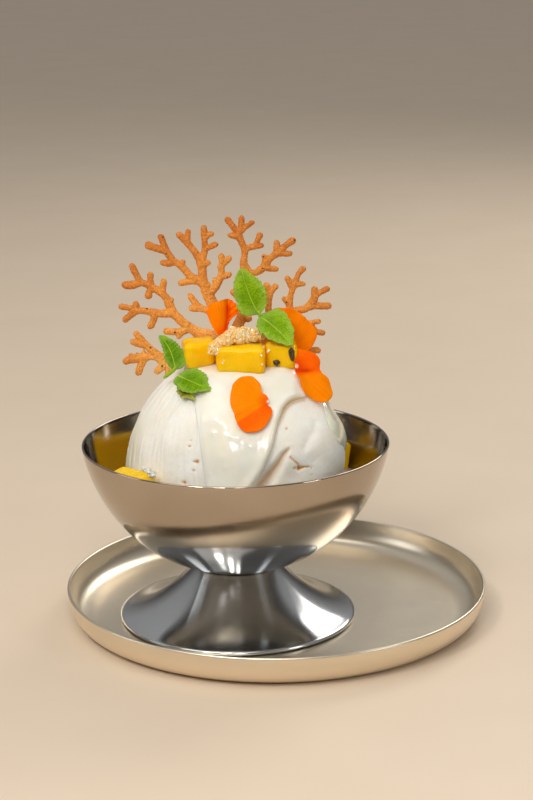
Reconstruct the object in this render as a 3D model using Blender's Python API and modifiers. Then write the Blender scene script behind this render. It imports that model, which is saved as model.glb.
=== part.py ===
"""A footed steel dessert cup on its round plate, filled with two scoops of sherbet.

Cream runs down the front of the sherbet. Mango cubes, granita, a coral tuile, flower petals and
mint sprigs dress it. Metres, +Z up. The origin is the centre of the plate's underside. The cup
stands off the plate's centre, and all that belongs to it hangs from an empty on the cup's axis, at
the height of the plate's floor.
"""

import math
import random

import bmesh
import bpy
import numpy as np
from mathutils import Euler, Matrix, Vector

MM = 0.001

# Steel
GAP = 0.3 * MM
PLATE_SHEET = 1.2 * MM
PLATE_RADIUS = 80.0 * MM
PLATE_FLAT_RADIUS = 68.5 * MM
PLATE_HEIGHT = 11.7 * MM
CUP_AXIS = Vector((-14.85 * MM, -5.84 * MM, PLATE_SHEET))
CUP_SHEET = 0.9 * MM
RIM_RADIUS = 57.5 * MM
RIM_HEIGHT = 68.0 * MM
BOWL_FLOOR_RADIUS = 18.0 * MM
SEAM_RADIUS = 16.7 * MM
SEAM_HEIGHT = 21.0 * MM
FOOT_RADIUS = 44.8 * MM
HEM = 1.7 * MM
TURN_STEPS = 48

# Sherbet and cream, from the cup's axis at the plate's floor
HEART = Vector((0, 0, 55 * MM))
SCOOPS = (
    (Vector((-1, 0, 55)) * MM, Vector((40, 38, 47)) * MM),
    (Vector((15, -9, 66)) * MM, Vector((25.5, 25.5, 25.5)) * MM),
    (Vector((14, -4, 82)) * MM, Vector((18, 18, 18)) * MM),
)
SCOOP_BLEND = 4.0 * MM
MOUND_TOP = 97.8 * MM
FILL_HEIGHT = 50.0 * MM
CREAM_GAP = 0.5 * MM
CREAM_THICKNESS = 1.8 * MM
CREAM_LIFT = CREAM_THICKNESS + CREAM_GAP + GAP

# Toppings
MANGO_EDGE = 1.4 * MM
CORAL_DEPTH = 6.0 * MM
CORAL_KEEP = 0.54
CRYSTALS = 10
CRYSTAL_RADIUS = 1.4
# Centre, radius and flatness of the lumps that carry the crystals, in mm
GRANITA_LUMPS = (
    ((2.2, -6.8, 110.5), 5.0, 0.4),
    ((-3.4, -5.8, 110.5), 4.2, 0.4),
    ((7.4, -5.8, 110.5), 3.8, 0.4),
    ((-6.4, -8.6, 110.0), 3.0, 0.5),
    ((-3.4, -9.4, 109.7), 2.6, 0.5),
    ((-8.3, -11.4, 107.9), 2.4, 1.0),
    ((-8.6, -11.6, 105.0), 2.1, 1.0),
)
LEAF_SHEET = 0.5 * MM
STEM_RADIUS = 0.7 * MM
PETAL_SHEET = 0.5 * MM


def clear_scene():
    for thing in list(bpy.data.objects):
        bpy.data.objects.remove(thing, do_unlink=True)


def new_collection(name):
    collection = bpy.data.collections.new(name)
    bpy.context.scene.collection.children.link(collection)
    return collection


def finish(name, colour, roughness, metallic=0.0):
    """A plain Principled material."""
    material = bpy.data.materials.new(name)
    material.use_nodes = True
    shader = material.node_tree.nodes["Principled BSDF"]
    shader.inputs["Base Color"].default_value = (*colour, 1)
    shader.inputs["Roughness"].default_value = roughness
    shader.inputs["Metallic"].default_value = metallic
    return material


def add_object(name, mesh, material, collection, parent):
    thing = bpy.data.objects.new(name, mesh)
    collection.objects.link(thing)
    thing.parent = parent
    if material:
        mesh.materials.append(material)
    return thing


def shade_round(mesh, sharp_degrees=40):
    mesh.shade_smooth()
    mesh.set_sharp_from_angle(angle=math.radians(sharp_degrees))


def set_modifier(thing, kind, **values):
    modifier = thing.modifiers.new(kind.title(), kind)
    for name, value in values.items():
        setattr(modifier, name, value)
    return modifier


def bake(thing):
    """Replaces the object's mesh by what its modifiers make of it."""
    bpy.context.view_layer.update()
    graph = bpy.context.evaluated_depsgraph_get()
    mesh = bpy.data.meshes.new_from_object(thing.evaluated_get(graph))
    thing.modifiers.clear()
    thing.data = mesh


# Turned steel


def bezier(start, first, second, end, count):
    """Points along a cubic curve, in pairs of radius and height."""
    points = []
    for t in np.linspace(0, 1, count):
        s = 1 - t
        weights = (s**3, 3 * s * s * t, 3 * s * t * t, t**3)
        pairs = (start, first, second, end)
        points.append(tuple(sum(w * p[i] for w, p in zip(weights, pairs)) for i in (0, 1)))
    return points


def offset(points, distance):
    """The same curve moved to its right-hand side."""
    moved = []
    for i, (radius, height) in enumerate(points):
        before = points[max(i - 1, 0)]
        after = points[min(i + 1, len(points) - 1)]
        along = Vector((after[0] - before[0], after[1] - before[1])).normalized()
        moved.append((max(radius + distance * along.y, 0.0), height - distance * along.x))
    return moved


def sheet_section(outer, thickness):
    """A closed section of sheet metal with a rounded lip, from the inner pole round to the outer one."""
    inner = offset(outer, thickness)
    inner[-1] = (0.0, inner[-1][1])
    lip = ((outer[0][0] + inner[0][0]) / 2, outer[0][1] + thickness / 2)
    return inner[::-1] + [lip] + outer


def turned(name, section, material, collection, parent):
    mesh = bpy.data.meshes.new(name)
    edges = [(i, i + 1) for i in range(len(section) - 1)]
    mesh.from_pydata([(radius, 0, height) for radius, height in section], edges, [])
    thing = add_object(name, mesh, material, collection, parent)
    set_modifier(
        thing,
        "SCREW",
        steps=TURN_STEPS,
        render_steps=TURN_STEPS,
        use_merge_vertices=True,
        merge_threshold=0.01 * MM,
        use_smooth_shade=True,
    )
    return thing


def plate_outline():
    wall = bezier(
        (PLATE_RADIUS, PLATE_HEIGHT),
        (PLATE_RADIUS - 0.7 * MM, 0.38 * PLATE_HEIGHT),
        (PLATE_RADIUS - 2.8 * MM, 0.0),
        (PLATE_FLAT_RADIUS, 0.0),
        6,
    )
    return wall + [(0.0, 0.0)]


def bowl_outline():
    floor_height = SEAM_HEIGHT + GAP
    wall = bezier(
        (RIM_RADIUS, RIM_HEIGHT),
        (RIM_RADIUS - 2.0 * MM, 54.9 * MM),
        (44.8 * MM, 30.2 * MM),
        (BOWL_FLOOR_RADIUS, floor_height + 0.7 * MM),
        7,
    )
    return wall + [(SEAM_RADIUS - 0.5 * MM, floor_height), (0.0, floor_height)]


def foot_section():
    """A hollow trumpet, closed at its top, with a rolled hem that stands on the plate."""
    trumpet = bezier(
        (SEAM_RADIUS, SEAM_HEIGHT - 0.4 * MM),
        (SEAM_RADIUS + 3.0 * MM, 16.0 * MM),
        (FOOT_RADIUS - 14.0 * MM, 3.8 * MM),
        (FOOT_RADIUS - 0.5 * MM, HEM),
        7,
    )
    outer = [(0.0, SEAM_HEIGHT), (SEAM_RADIUS - 0.4 * MM, SEAM_HEIGHT)] + trumpet
    inner = offset(outer, CUP_SHEET)
    inner[0] = (0.0, SEAM_HEIGHT - CUP_SHEET)
    hem = [(FOOT_RADIUS, HEM / 2), (FOOT_RADIUS - 0.4 * MM, GAP), (FOOT_RADIUS - 1.6 * MM, GAP)]
    return outer + hem + inner[:-1][::-1]


def bowl_inside(height):
    """The bowl's inner radius at a height."""
    inner = offset(bowl_outline(), CUP_SHEET)[::-1]
    return float(np.interp(height, [p[1] for p in inner[1:]], [p[0] for p in inner[1:]]))


# The sherbet's surface, as a distance to blended scoops


def scoop_distance(point, centre, radii):
    local = point - centre
    scaled = Vector(local[i] / radii[i] for i in range(3)).length
    steep = Vector(local[i] / radii[i] ** 2 for i in range(3)).length
    return scaled * (scaled - 1) / max(steep, 1e-9)


def blend(a, b, width):
    overlap = max(width - abs(a - b), 0) / width
    return min(a, b) - overlap**2 * width / 4


def mound_distance(point):
    distance = 1.0
    for centre, radii in SCOOPS:
        distance = blend(distance, scoop_distance(point, centre, radii), SCOOP_BLEND)
    return -blend(-distance, MOUND_TOP - point.z, SCOOP_BLEND)


def mound_point(direction, lift=0.0):
    """Where a ray from the heart meets the surface that lies a lift above the sherbet."""
    near, far = 0.0, 70 * MM
    for _ in range(24):
        middle = (near + far) / 2
        if mound_distance(HEART + direction * middle) < lift:
            near = middle
        else:
            far = middle
    return HEART + direction * near


def over_the_top(over, side):
    """A direction: degrees from the front's horizon over the top, and degrees to the side."""
    over, side = math.radians(over), math.radians(side)
    return Vector((math.sin(side), -math.cos(side) * math.cos(over), math.cos(side) * math.sin(over)))


def towards(azimuth, elevation):
    flat = math.cos(elevation)
    return Vector((flat * math.cos(azimuth), flat * math.sin(azimuth), math.sin(elevation)))


def ball(name, columns, rows, place, material, collection, parent):
    """A UV sphere whose vertices move to place(azimuth, row), with row 0 at the top."""
    shape = bmesh.new()
    bmesh.ops.create_uvsphere(shape, u_segments=columns, v_segments=rows, radius=1)
    for vertex in shape.verts:
        azimuth = math.atan2(vertex.co.y, vertex.co.x)
        row = round(math.acos(max(-1.0, min(1.0, vertex.co.z))) / math.pi * rows)
        vertex.co = place(azimuth, row)
    mesh = bpy.data.meshes.new(name)
    shape.to_mesh(mesh)
    shape.free()
    shade_round(mesh, 60)
    return add_object(name, mesh, material, collection, parent)


def add_sherbet(material, collection, parent):
    """Two scoops that run down into a fill, which follows the bowl's inside."""
    mound_rows = 12
    lowest_ray = math.radians(-4)
    flutes = 20
    flute_depth = 0.45 * MM
    hollow = mound_point(over_the_top(17, 32))
    hollow_depth, hollow_reach = 1.3 * MM, 5.0 * MM

    def relief(point, azimuth):
        """How far the scoop's strokes on the left, and a hollow on the right, sink the surface."""
        left = max(0.0, math.cos(azimuth - math.radians(200))) ** 2
        stroke = flute_depth * left * (0.5 + 0.5 * math.cos(flutes * azimuth))
        return stroke + hollow_depth * math.exp(-(((point - hollow).length / hollow_reach) ** 2))

    fill = [FILL_HEIGHT + 0.3 * MM, FILL_HEIGHT, 42 * MM, 34 * MM, 27 * MM]
    floor = SEAM_HEIGHT + CUP_SHEET + 2.5 * GAP

    def place(azimuth, row):
        if row <= mound_rows:
            elevation = math.pi / 2 + (lowest_ray - math.pi / 2) * row / mound_rows
            direction = towards(azimuth, elevation)
            point = mound_point(direction)
            return point - direction * relief(point, azimuth)
        step = row - mound_rows - 1
        if step == 0:
            edge = mound_point(towards(azimuth, lowest_ray))
            reach = math.hypot(edge.x, edge.y) + 1.2 * MM
            return Vector((reach * math.cos(azimuth), reach * math.sin(azimuth), fill[0]))
        if step < len(fill):
            reach = bowl_inside(fill[step]) - 1.6 * GAP
            return Vector((reach * math.cos(azimuth), reach * math.sin(azimuth), fill[step]))
        reach = (SEAM_RADIUS - MM) if step == len(fill) else 0.0
        return Vector((reach * math.cos(azimuth), reach * math.sin(azimuth), floor))

    rows = mound_rows + len(fill) + 2
    return ball("sherbet", 40, rows, place, material, collection, parent)


# Sheets: cream, petals and leaves


def sheet(name, across, along, place, thickness, material, collection, parent, weight=None):
    """A grid laid out by place(u, v), u and v from -1 to 1, split into triangles and made solid.

    The solid grows towards the side that the grid's faces look at. A weight(u, v) thins it.
    """
    shape = bmesh.new()
    bmesh.ops.create_grid(shape, x_segments=across, y_segments=along, size=1)
    bmesh.ops.triangulate(shape, faces=shape.faces[:], quad_method="FIXED")
    spots = [(vertex.co.x, vertex.co.y) for vertex in shape.verts]
    for vertex, (u, v) in zip(shape.verts, spots):
        vertex.co = place(u, v)
    mesh = bpy.data.meshes.new(name)
    shape.to_mesh(mesh)
    shape.free()
    mesh.shade_smooth()
    thing = add_object(name, mesh, material, collection, parent)
    solid = set_modifier(thing, "SOLIDIFY", thickness=thickness, offset=1, use_even_offset=False)
    if weight:
        group = thing.vertex_groups.new(name="thickness")
        for i, (u, v) in enumerate(spots):
            group.add([i], weight(u, v), "REPLACE")
        solid.vertex_group = group.name
    return thing


def round_spot(u, v):
    """Maps the square to the unit disc."""
    return u * math.sqrt(1 - v * v / 2), v * math.sqrt(1 - u * u / 2)


def between(value, stops):
    """The value at a place, straight from one pair of place and value to the next."""
    return float(np.interp(value, [stop[0] for stop in stops], [stop[1] for stop in stops]))


# The cream's borders: degrees over the top from the front's horizon, and degrees to the side
CREAM_LEFT = ((-4, -12), (12, -16), (25, -18), (56, -18.5), (66, -19), (80, -22), (112, -24))
CREAM_RIGHT = (
    (-4, 4),
    (12, 10),
    (20, 14),
    (30, 17.5),
    (42, 20),
    (52, 23),
    (58, 27),
    (66, 36),
    (84, 33),
    (112, 24),
)


def add_cream(material, collection, parent):
    """An apron that falls from behind the top down the front, thick in the middle."""
    lowest, highest = CREAM_LEFT[0][0], CREAM_LEFT[-1][0]

    def place(u, v):
        over = lowest + (highest - lowest) * (v + 1) / 2
        left = between(over, CREAM_LEFT)
        right = between(over, CREAM_RIGHT)
        return mound_point(over_the_top(over, left + (right - left) * (u + 1) / 2), CREAM_GAP)

    def weight(u, v):
        edge = max(abs(u) ** 3, max(-v, 0) ** 6, max(v, 0) ** 6)
        return 0.3 + 0.7 * math.sqrt(max(1 - edge, 0))

    return sheet("cream_sauce", 12, 16, place, CREAM_THICKNESS, material, collection, parent, weight)


def frame_of(origin, up, facing):
    """A matrix whose Y points up the piece and whose Z faces out of it."""
    up = up.normalized()
    facing = (facing - up * facing.dot(up)).normalized()
    side = up.cross(facing)
    turn = Matrix((side, up, facing)).transposed().to_4x4()
    return Matrix.Translation(origin) @ turn


def add_leaf(base, tip, facing, width, curl, material, collection, parent):
    """A toothed mint leaf, folded a little along its midrib and curled towards its tip."""
    base = Vector(base) * MM
    tip = Vector(tip) * MM
    length = (tip - base).length
    placing = frame_of(base, tip - base, Vector(facing))
    rows = 8

    def place(u, v):
        along = (v + 1) / 2
        tooth = 0.055 if round(along * rows) % 2 else -0.055
        half = width * MM / 2 * math.sin(math.pi * along**0.82) ** 0.75 * (1 + tooth)
        half = max(half, 0.3 * MM)
        fold = 0.22 * abs(u) * half
        wave = 0.25 * MM * math.sin(9 * along + 2 * u) * abs(u)
        droop = -curl * length * along**2
        return placing @ Vector((u * half, along * length, fold + wave + droop))

    leaf = sheet("leaf", 4, rows, place, LEAF_SHEET, material, collection, parent)
    bake(leaf)
    return leaf


def add_petal(name, centre, up, facing, size, outline, relief, material, collection, parent):
    """A petal: the unit disc scaled to size, its radius set by outline(angle), its relief in mm."""
    placing = frame_of(Vector(centre) * MM, Vector(up), Vector(facing))

    def place(u, v):
        x, y = round_spot(u, v)
        reach = outline(math.atan2(y, x))
        x, y = x * reach, y * reach
        return placing @ (Vector((x * size[0] / 2, y * size[1] / 2, relief(x, y))) * MM)

    return sheet(name, 6, 7, place, PETAL_SHEET, material, collection, parent)


def dent(angle, degrees, width, depth):
    """A smooth notch in an outline, round an angle."""
    off = (angle - math.radians(degrees) + math.pi) % (2 * math.pi) - math.pi
    return depth * math.exp(-((off / math.radians(width)) ** 2))


def add_front_petal(material, collection, parent):
    """A kidney-shaped petal that lies on the cream, notched at its right."""
    over, over_spread = 51.2, 13.8
    side, side_spread = 7.4, 9.2
    slant = 2.0

    def place(u, v):
        x, y = round_spot(u, v)
        reach = 1 - dent(math.atan2(y, x), 14, 24, 0.24)
        ripple = 0.15 * MM * (1 + math.sin(3 * x + 5 * y))
        direction = over_the_top(over + over_spread * y * reach, side + side_spread * x * reach - slant * y)
        return mound_point(direction, CREAM_LIFT + ripple)

    return sheet("petal_front", 6, 7, place, PETAL_SHEET, material, collection, parent)


def add_folded_petal(material, collection, parent):
    """A petal rolled into a half cone, its claw down."""
    tip = Vector((-4.5, 0.4, 110.0)) * MM
    height = 13.2 * MM
    spread = math.radians(112)

    def place(u, v):
        rise = (v + 1) / 2
        turn = u * spread
        reach = (0.9 + 5.4 * math.sin(math.pi * 0.62 * rise)) * MM
        crown = 1 - 0.16 * u * u * rise
        lean = Vector((0.4 * MM * rise, 0, 0))
        ring = Vector((reach * math.sin(turn), -0.62 * reach * math.cos(turn), height * rise * crown))
        return tip + lean + ring

    return sheet("petal_folded", 7, 6, place, PETAL_SHEET, material, collection, parent)


# Fruit and granita


def add_mango(name, centre, size, turns, seed, material, collection, parent):
    """A hand-cut cube: corners a little off square, edges rounded, turned about X, Y and Z."""
    draw = random.Random(seed)
    shape = bmesh.new()
    bmesh.ops.create_cube(shape, size=1)
    for vertex in shape.verts:
        jitter = Vector(draw.uniform(-0.5, 0.5) for _ in range(3)) * MM
        vertex.co = Vector(vertex.co[i] * size[i] * MM for i in range(3)) + jitter
    bmesh.ops.bevel(
        shape, geom=shape.edges[:], offset=MANGO_EDGE, segments=2, profile=0.5, affect="EDGES"
    )
    mesh = bpy.data.meshes.new(name)
    shape.to_mesh(mesh)
    shape.free()
    mesh.transform(Euler([math.radians(turn) for turn in turns]).to_matrix().to_4x4())
    mesh.transform(Matrix.Translation(Vector(centre) * MM))
    shade_round(mesh)
    return add_object(name, mesh, material, collection, parent)


# Centre, size, and turns about X, Y and Z
TOP_MANGO = {
    "mango_top_left": ((-13.0, -3.6, 103.8), (11.6, 10.6, 8.6), (0, -3, 8)),
    "mango_top_middle": ((2.4, -9.8, 103.4), (16.8, 11.2, 8.6), (3, 0, -3)),
    "mango_top_right": ((17.2, -5.8, 103.7), (11.0, 11.4, 8.4), (0, 3, -6)),
    "mango_top_back_left": ((-9.4, 16.6, 100.2), (12.6, 10.0, 8.0), (-20, -4, 12)),
    "mango_top_back_right": ((6.8, 16.8, 100.4), (13.2, 10.4, 8.0), (-18, 3, -8)),
}
# Round the scoops: degrees from +X, distance from the axis, size, lean
SIDE_MANGO = {
    "mango_side_left": (217.5, 46.3, (7.8, 15.0, 14.6), 15),
    "mango_side_right": (36, 46.3, (8.2, 12.5, 12.4), 13),
    "mango_side_back_right": (66, 46.4, (8.0, 13.0, 12.2), 12),
    "mango_side_back": (96, 46.2, (8.2, 12.0, 12.8), 13),
    "mango_side_back_left": (127, 46.3, (8.0, 13.0, 12.4), 13),
}


def add_all_mango(material, collection, cutters, parent):
    """Cubes on top sink into the cream's upper face, and the others lean on the bowl's wall."""

    def place(azimuth, row):
        return mound_point(towards(azimuth, math.pi / 2 - math.pi * row / 24), CREAM_LIFT)

    bed = ball("cream_bed", 48, 24, place, None, cutters, parent)
    bed.hide_render = True
    bed.display_type = "WIRE"
    for seed, (name, (centre, size, turns)) in enumerate(TOP_MANGO.items()):
        cube = add_mango(name, centre, size, turns, seed, material, collection, parent)
        set_modifier(cube, "BOOLEAN", object=bed, operation="DIFFERENCE")
    for seed, (name, (azimuth, reach, size, lean)) in enumerate(SIDE_MANGO.items()):
        out = Matrix.Rotation(math.radians(azimuth), 3, "Z") @ Vector((reach, 0, 0))
        centre = (out.x, out.y, FILL_HEIGHT / MM + 0.9 + size[2] / 2)
        add_mango(name, centre, size, (0, lean, azimuth), 20 + seed, material, collection, parent)


def join(name, pieces, material, collection, parent, keep=1.0):
    """One solid from overlapping pieces, thinned to a share of its triangles."""
    group = bpy.data.collections.new(name + "_pieces")
    bpy.context.scene.collection.children.link(group)
    first = pieces[0]
    for piece in pieces[1:]:
        collection.objects.unlink(piece)
        group.objects.link(piece)
    set_modifier(
        first,
        "BOOLEAN",
        operand_type="COLLECTION",
        collection=group,
        operation="UNION",
        solver="MANIFOLD",
    )
    bake(first)
    for piece in pieces[1:]:
        bpy.data.objects.remove(piece, do_unlink=True)
    bpy.data.collections.remove(group)
    if keep < 1:
        set_modifier(first, "DECIMATE", ratio=keep)
        bake(first)
    first.name = name
    first.data.name = name
    first.data.materials.clear()
    first.data.materials.append(material)
    shade_round(first.data, 50)
    return first


def add_granita(material, collection, parent):
    """A low heap of crystals on the cubes, slipped down between two of them."""
    draw = random.Random(11)
    pieces = []

    def lump(centre, radius, detail=1, flat=1.0):
        """A rough ball, its radius in mm, flattened by a share of its height."""
        shape = bmesh.new()
        bmesh.ops.create_icosphere(shape, subdivisions=detail, radius=radius * MM)
        for vertex in shape.verts:
            vertex.co *= draw.uniform(0.85, 1.12)
            vertex.co.z *= flat
            vertex.co += Vector(centre) * MM
        mesh = bpy.data.meshes.new("granita_piece")
        shape.to_mesh(mesh)
        shape.free()
        pieces.append(add_object("granita_piece", mesh, material, collection, parent))

    for centre, radius, flat in GRANITA_LUMPS:
        lump(centre, radius, 2, flat)
    for i in range(CRYSTALS):
        turn = i * math.radians(137.5)
        spread = math.sqrt((i + 0.5) / CRYSTALS)
        x = 1.6 + 9.0 * spread * math.cos(turn)
        y = -6.4 + 4.0 * spread * math.sin(turn)
        lump((x, y, 112.3 - 1.6 * spread), CRYSTAL_RADIUS * draw.uniform(0.8, 1.15))
    return join("granita", pieces, material, collection, parent)


# Coral tuile. Boughs run through points (x, z) in mm on the fan, thick at the first and thin at the
# last. A twig leaves a bough at a share of its length, with a heading in degrees and a length in mm.
BOUGHS = {
    "root": ((-2.5, 101.6), (-2.5, 105.0)),
    "left": ((-2.5, 104.0), (-8.5, 107.5), (-13.5, 111.5), (-22.0, 117.5), (-24.0, 120.0)),
    "left_low": ((-22.5, 117.5), (-29.5, 116.5), (-35.5, 117.5), (-42.5, 119.5)),
    "left_high": ((-24.0, 119.5), (-24.5, 123.5), (-27.5, 125.5), (-35.5, 129.0), (-37.5, 134.5)),
    "left_spur": ((-16.0, 112.5), (-21.5, 109.8), (-25.5, 109.5)),
    "tall": ((-3.0, 104.0), (-6.5, 110.0), (-8.5, 119.5), (-11.0, 126.5)),
    "tall_left": ((-10.8, 126.0), (-19.5, 133.5), (-24.5, 140.5), (-26.5, 145.5)),
    "middle": ((-9.5, 122.0), (-12.0, 130.0), (-12.0, 136.5), (-10.5, 139.5), (-10.5, 148.5)),
    "middle_left": ((-12.0, 134.0), (-16.0, 141.5), (-20.5, 146.0)),
    "inner": ((-8.5, 121.5), (-3.8, 129.5), (-3.8, 133.5), (-2.5, 135.0), (-4.0, 138.0)),
    "spur": ((-7.8, 116.0), (-12.5, 118.2), (-16.0, 122.5)),
    "high": ((-1.5, 104.5), (1.5, 110.5), (4.5, 122.0), (6.2, 131.0)),
    "highest": ((6.1, 130.5), (4.5, 134.5), (4.5, 140.5), (3.0, 144.5), (-1.5, 151.0)),
    "high_right": ((4.4, 137.5), (8.5, 142.0), (10.1, 145.7)),
    "slant": ((6.0, 129.8), (11.5, 133.5), (17.0, 139.5), (22.0, 143.0)),
    "right": ((-1.0, 103.5), (8.0, 107.0), (15.0, 111.5), (23.0, 117.0)),
    "right_in": ((11.0, 109.5), (13.2, 119.0), (13.5, 124.0), (12.3, 126.8)),
    "right_up": ((22.5, 116.5), (21.0, 120.5), (22.0, 127.5), (25.5, 133.0)),
    "right_out": ((22.0, 116.3), (27.0, 118.5), (30.5, 122.3), (35.0, 124.5)),
    "right_side": ((18.0, 113.5), (25.0, 110.8), (31.5, 113.0)),
    "right_down": ((12.0, 109.5), (20.0, 104.8), (28.0, 102.4), (32.3, 102.6)),
}
TWIGS = (
    ("left_low", 0.27, -111, 6.0),
    ("left_low", 0.62, 102, 3.4),
    ("left_low", 0.78, -123, 5.0),
    ("left_high", 0.30, 70, 4.1),
    ("left_high", 0.38, -131, 4.4),
    ("left_high", 0.50, 88, 4.6),
    ("left_high", 0.53, 179, 8.5),
    ("left_spur", 0.50, -98, 2.8),
    ("tall_left", 0.25, -163, 5.2),
    ("tall_left", 0.47, 70, 2.9),
    ("tall_left", 0.60, -172, 4.7),
    ("tall_left", 0.84, 172, 6.4),
    ("middle", 0.72, 15, 5.0),
    ("middle", 0.83, 38, 3.6),
    ("middle_left", 0.72, 80, 4.6),
    ("inner", 0.25, 105, 2.8),
    ("inner", 0.50, 12, 2.9),
    ("inner", 0.82, 45, 2.4),
    ("spur", 0.45, -166, 3.6),
    ("high", 0.23, 5, 3.2),
    ("high", 0.76, 155, 4.4),
    ("highest", 0.57, 164, 4.4),
    ("highest", 0.72, 74, 6.0),
    ("highest", 0.67, 33, 6.4),
    ("high_right", 0.60, 2, 4.2),
    ("slant", 0.27, 103, 3.6),
    ("slant", 0.30, -24, 4.6),
    ("slant", 0.66, 98, 4.0),
    ("slant", 0.66, -12, 4.6),
    ("right_in", 0.82, 30, 2.8),
    ("right_up", 0.25, 155, 3.1),
    ("right_up", 0.57, 119, 3.4),
    ("right_up", 0.76, -25, 3.8),
    ("right_out", 0.50, -12, 6.8),
    ("right_out", 0.58, 91, 3.6),
    ("right_side", 0.62, -32, 5.2),
)
SHARD_BOUGHS = {
    "stem": ((-23.2, 97.6), (-27.5, 100.6), (-31.5, 104.3), (-36.5, 109.0)),
    "low": ((-27.0, 100.3), (-33.0, 99.4), (-38.7, 101.0), (-41.0, 98.6)),
}
SHARD_TWIGS = (
    ("stem", 0.74, 178, 4.8),
    ("stem", 0.30, -118, 5.0),
    ("low", 0.47, -105, 5.4),
    ("low", 0.80, 165, 3.0),
)
BOUGH_THICK, BOUGH_THIN = 2.1 * MM, 1.3 * MM
TWIG_THICK, TWIG_THIN = 1.6 * MM, 1.2 * MM


def fan_point(x, z, middle):
    """Lifts a point of the flat fan on to its gently bowed plane."""
    bow = 2.2 * MM * ((x - middle) / 40) ** 2
    lean = 0.03 * MM * (z - 104)
    return Vector((x * MM, CORAL_DEPTH + bow + lean, z * MM))


def along_bough(points, share):
    """The point at a share of a bough's length."""
    lengths = [math.dist(a, b) for a, b in zip(points, points[1:])]
    left = share * sum(lengths)
    for a, b, length in zip(points, points[1:], lengths):
        if left <= length:
            return tuple(a[i] + (b[i] - a[i]) * left / length for i in (0, 1))
        left -= length
    return points[-1]


def tube(name, path, radii, material, collection, parent):
    """A closed tube along a path of points in metres, its radius set at each of them."""
    curve = bpy.data.curves.new(name, "CURVE")
    curve.dimensions = "3D"
    curve.bevel_depth = 1.0
    curve.bevel_resolution = 1
    curve.use_fill_caps = True
    spline = curve.splines.new("POLY")
    spline.points.add(len(path) - 1)
    for knot, point, radius in zip(spline.points, path, radii):
        knot.co = (*point, 1)
        knot.radius = radius
    guide = bpy.data.objects.new(name + "_guide", curve)
    collection.objects.link(guide)
    bpy.context.view_layer.update()
    graph = bpy.context.evaluated_depsgraph_get()
    mesh = bpy.data.meshes.new_from_object(guide.evaluated_get(graph))
    bpy.data.objects.remove(guide, do_unlink=True)
    shape = bmesh.new()
    shape.from_mesh(mesh)
    bmesh.ops.remove_doubles(shape, verts=shape.verts[:], dist=0.001 * MM)
    bmesh.ops.recalc_face_normals(shape, faces=shape.faces[:])
    shape.to_mesh(mesh)
    shape.free()
    return add_object(name, mesh, material, collection, parent)


def branch(points, thick, thin, middle, material, collection, parent):
    """A tapering tube on the fan, with a rounded end."""
    path = [fan_point(x, z, middle) for x, z in points]
    radii = list(np.linspace(thick, thin, len(path)))
    path.append(path[-1] + (path[-1] - path[-2]).normalized() * thin * 0.7)
    radii.append(thin * 0.55)
    return tube("branch", path, radii, material, collection, parent)


def add_coral(name, boughs, twigs, middle, material, collection, parent):
    pieces = []
    for points in boughs.values():
        pieces.append(branch(points, BOUGH_THICK, BOUGH_THIN, middle, material, collection, parent))
    for bough, share, heading, length in twigs:
        start = along_bough(boughs[bough], share)
        turn = math.radians(heading)
        end = (start[0] + length * math.cos(turn), start[1] + length * math.sin(turn))
        pieces.append(branch((start, end), TWIG_THICK, TWIG_THIN, middle, material, collection, parent))
    return join(name, pieces, material, collection, parent, CORAL_KEEP)


def add_stem(points, material, collection, parent):
    path = [Vector(point) * MM for point in points]
    return tube("stem", path, [STEM_RADIUS] * len(path), material, collection, parent)


def add_sprigs(material, collection, parent):
    place = (material, collection, parent)
    top = [
        add_leaf((9.6, -3.2, 116.6), (3.2, -3.4, 134.3), (0.1, -1, 0.25), 12.4, 0.06, *place),
        add_leaf((9.4, -3.6, 117.0), (20.6, -13.4, 109.6), (0.25, -0.8, 0.75), 11.0, 0.08, *place),
        add_stem(((9.2, -3.4, 112.6), (9.7, -3.2, 117.4)), *place),
    ]
    join("mint_sprig_top", top, *place)
    side = [
        add_leaf((-21.8, -9.4, 98.9), (-27.2, -6.8, 111.4), (0.3, -1, 0.2), 9.4, 0.08, *place),
        add_leaf((-22.8, -10.6, 98.0), (-9.6, -22.6, 95.4), (0.1, -0.75, 0.9), 8.6, 0.05, *place),
        add_leaf((-22.2, -12.0, 96.6), (-16.0, -22.8, 92.4), (-0.2, -0.8, 0.6), 3.8, 0.02, *place),
        add_stem(((-26.2, -9.8, 95.6), (-22.4, -10.2, 98.6), (-21.4, -9.0, 99.8)), *place),
    ]
    join("mint_sprig_left", side, *place)


def add_petals(material, collection, parent):
    place = (material, collection, parent)
    add_front_petal(*place)
    add_folded_petal(*place)
    add_petal(
        "petal_behind",
        (21.4, 2.4, 109.6),
        (0.0, 0.12, 1),
        (0.1, -1, 0.2),
        (19.8, 16.5),
        lambda angle: 1 - dent(angle, 40, 25, 0.08) - dent(angle, -60, 30, 0.1),
        lambda x, y: 0.5 * math.sin(3 * x + y),
        *place,
    )
    add_petal(
        "petal_right",
        (28.7, -13.0, 97.4),
        (-0.36, 0.45, 1),
        (0.45, -0.9, 0.4),
        (12.8, 21.4),
        lambda angle: 1 - dent(angle, 20, 18, 0.3) - dent(angle, 60, 20, 0.14),
        lambda x, y: 0.35 * math.sin(4 * x) - 0.6 * y * y,
        *place,
    )


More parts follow.
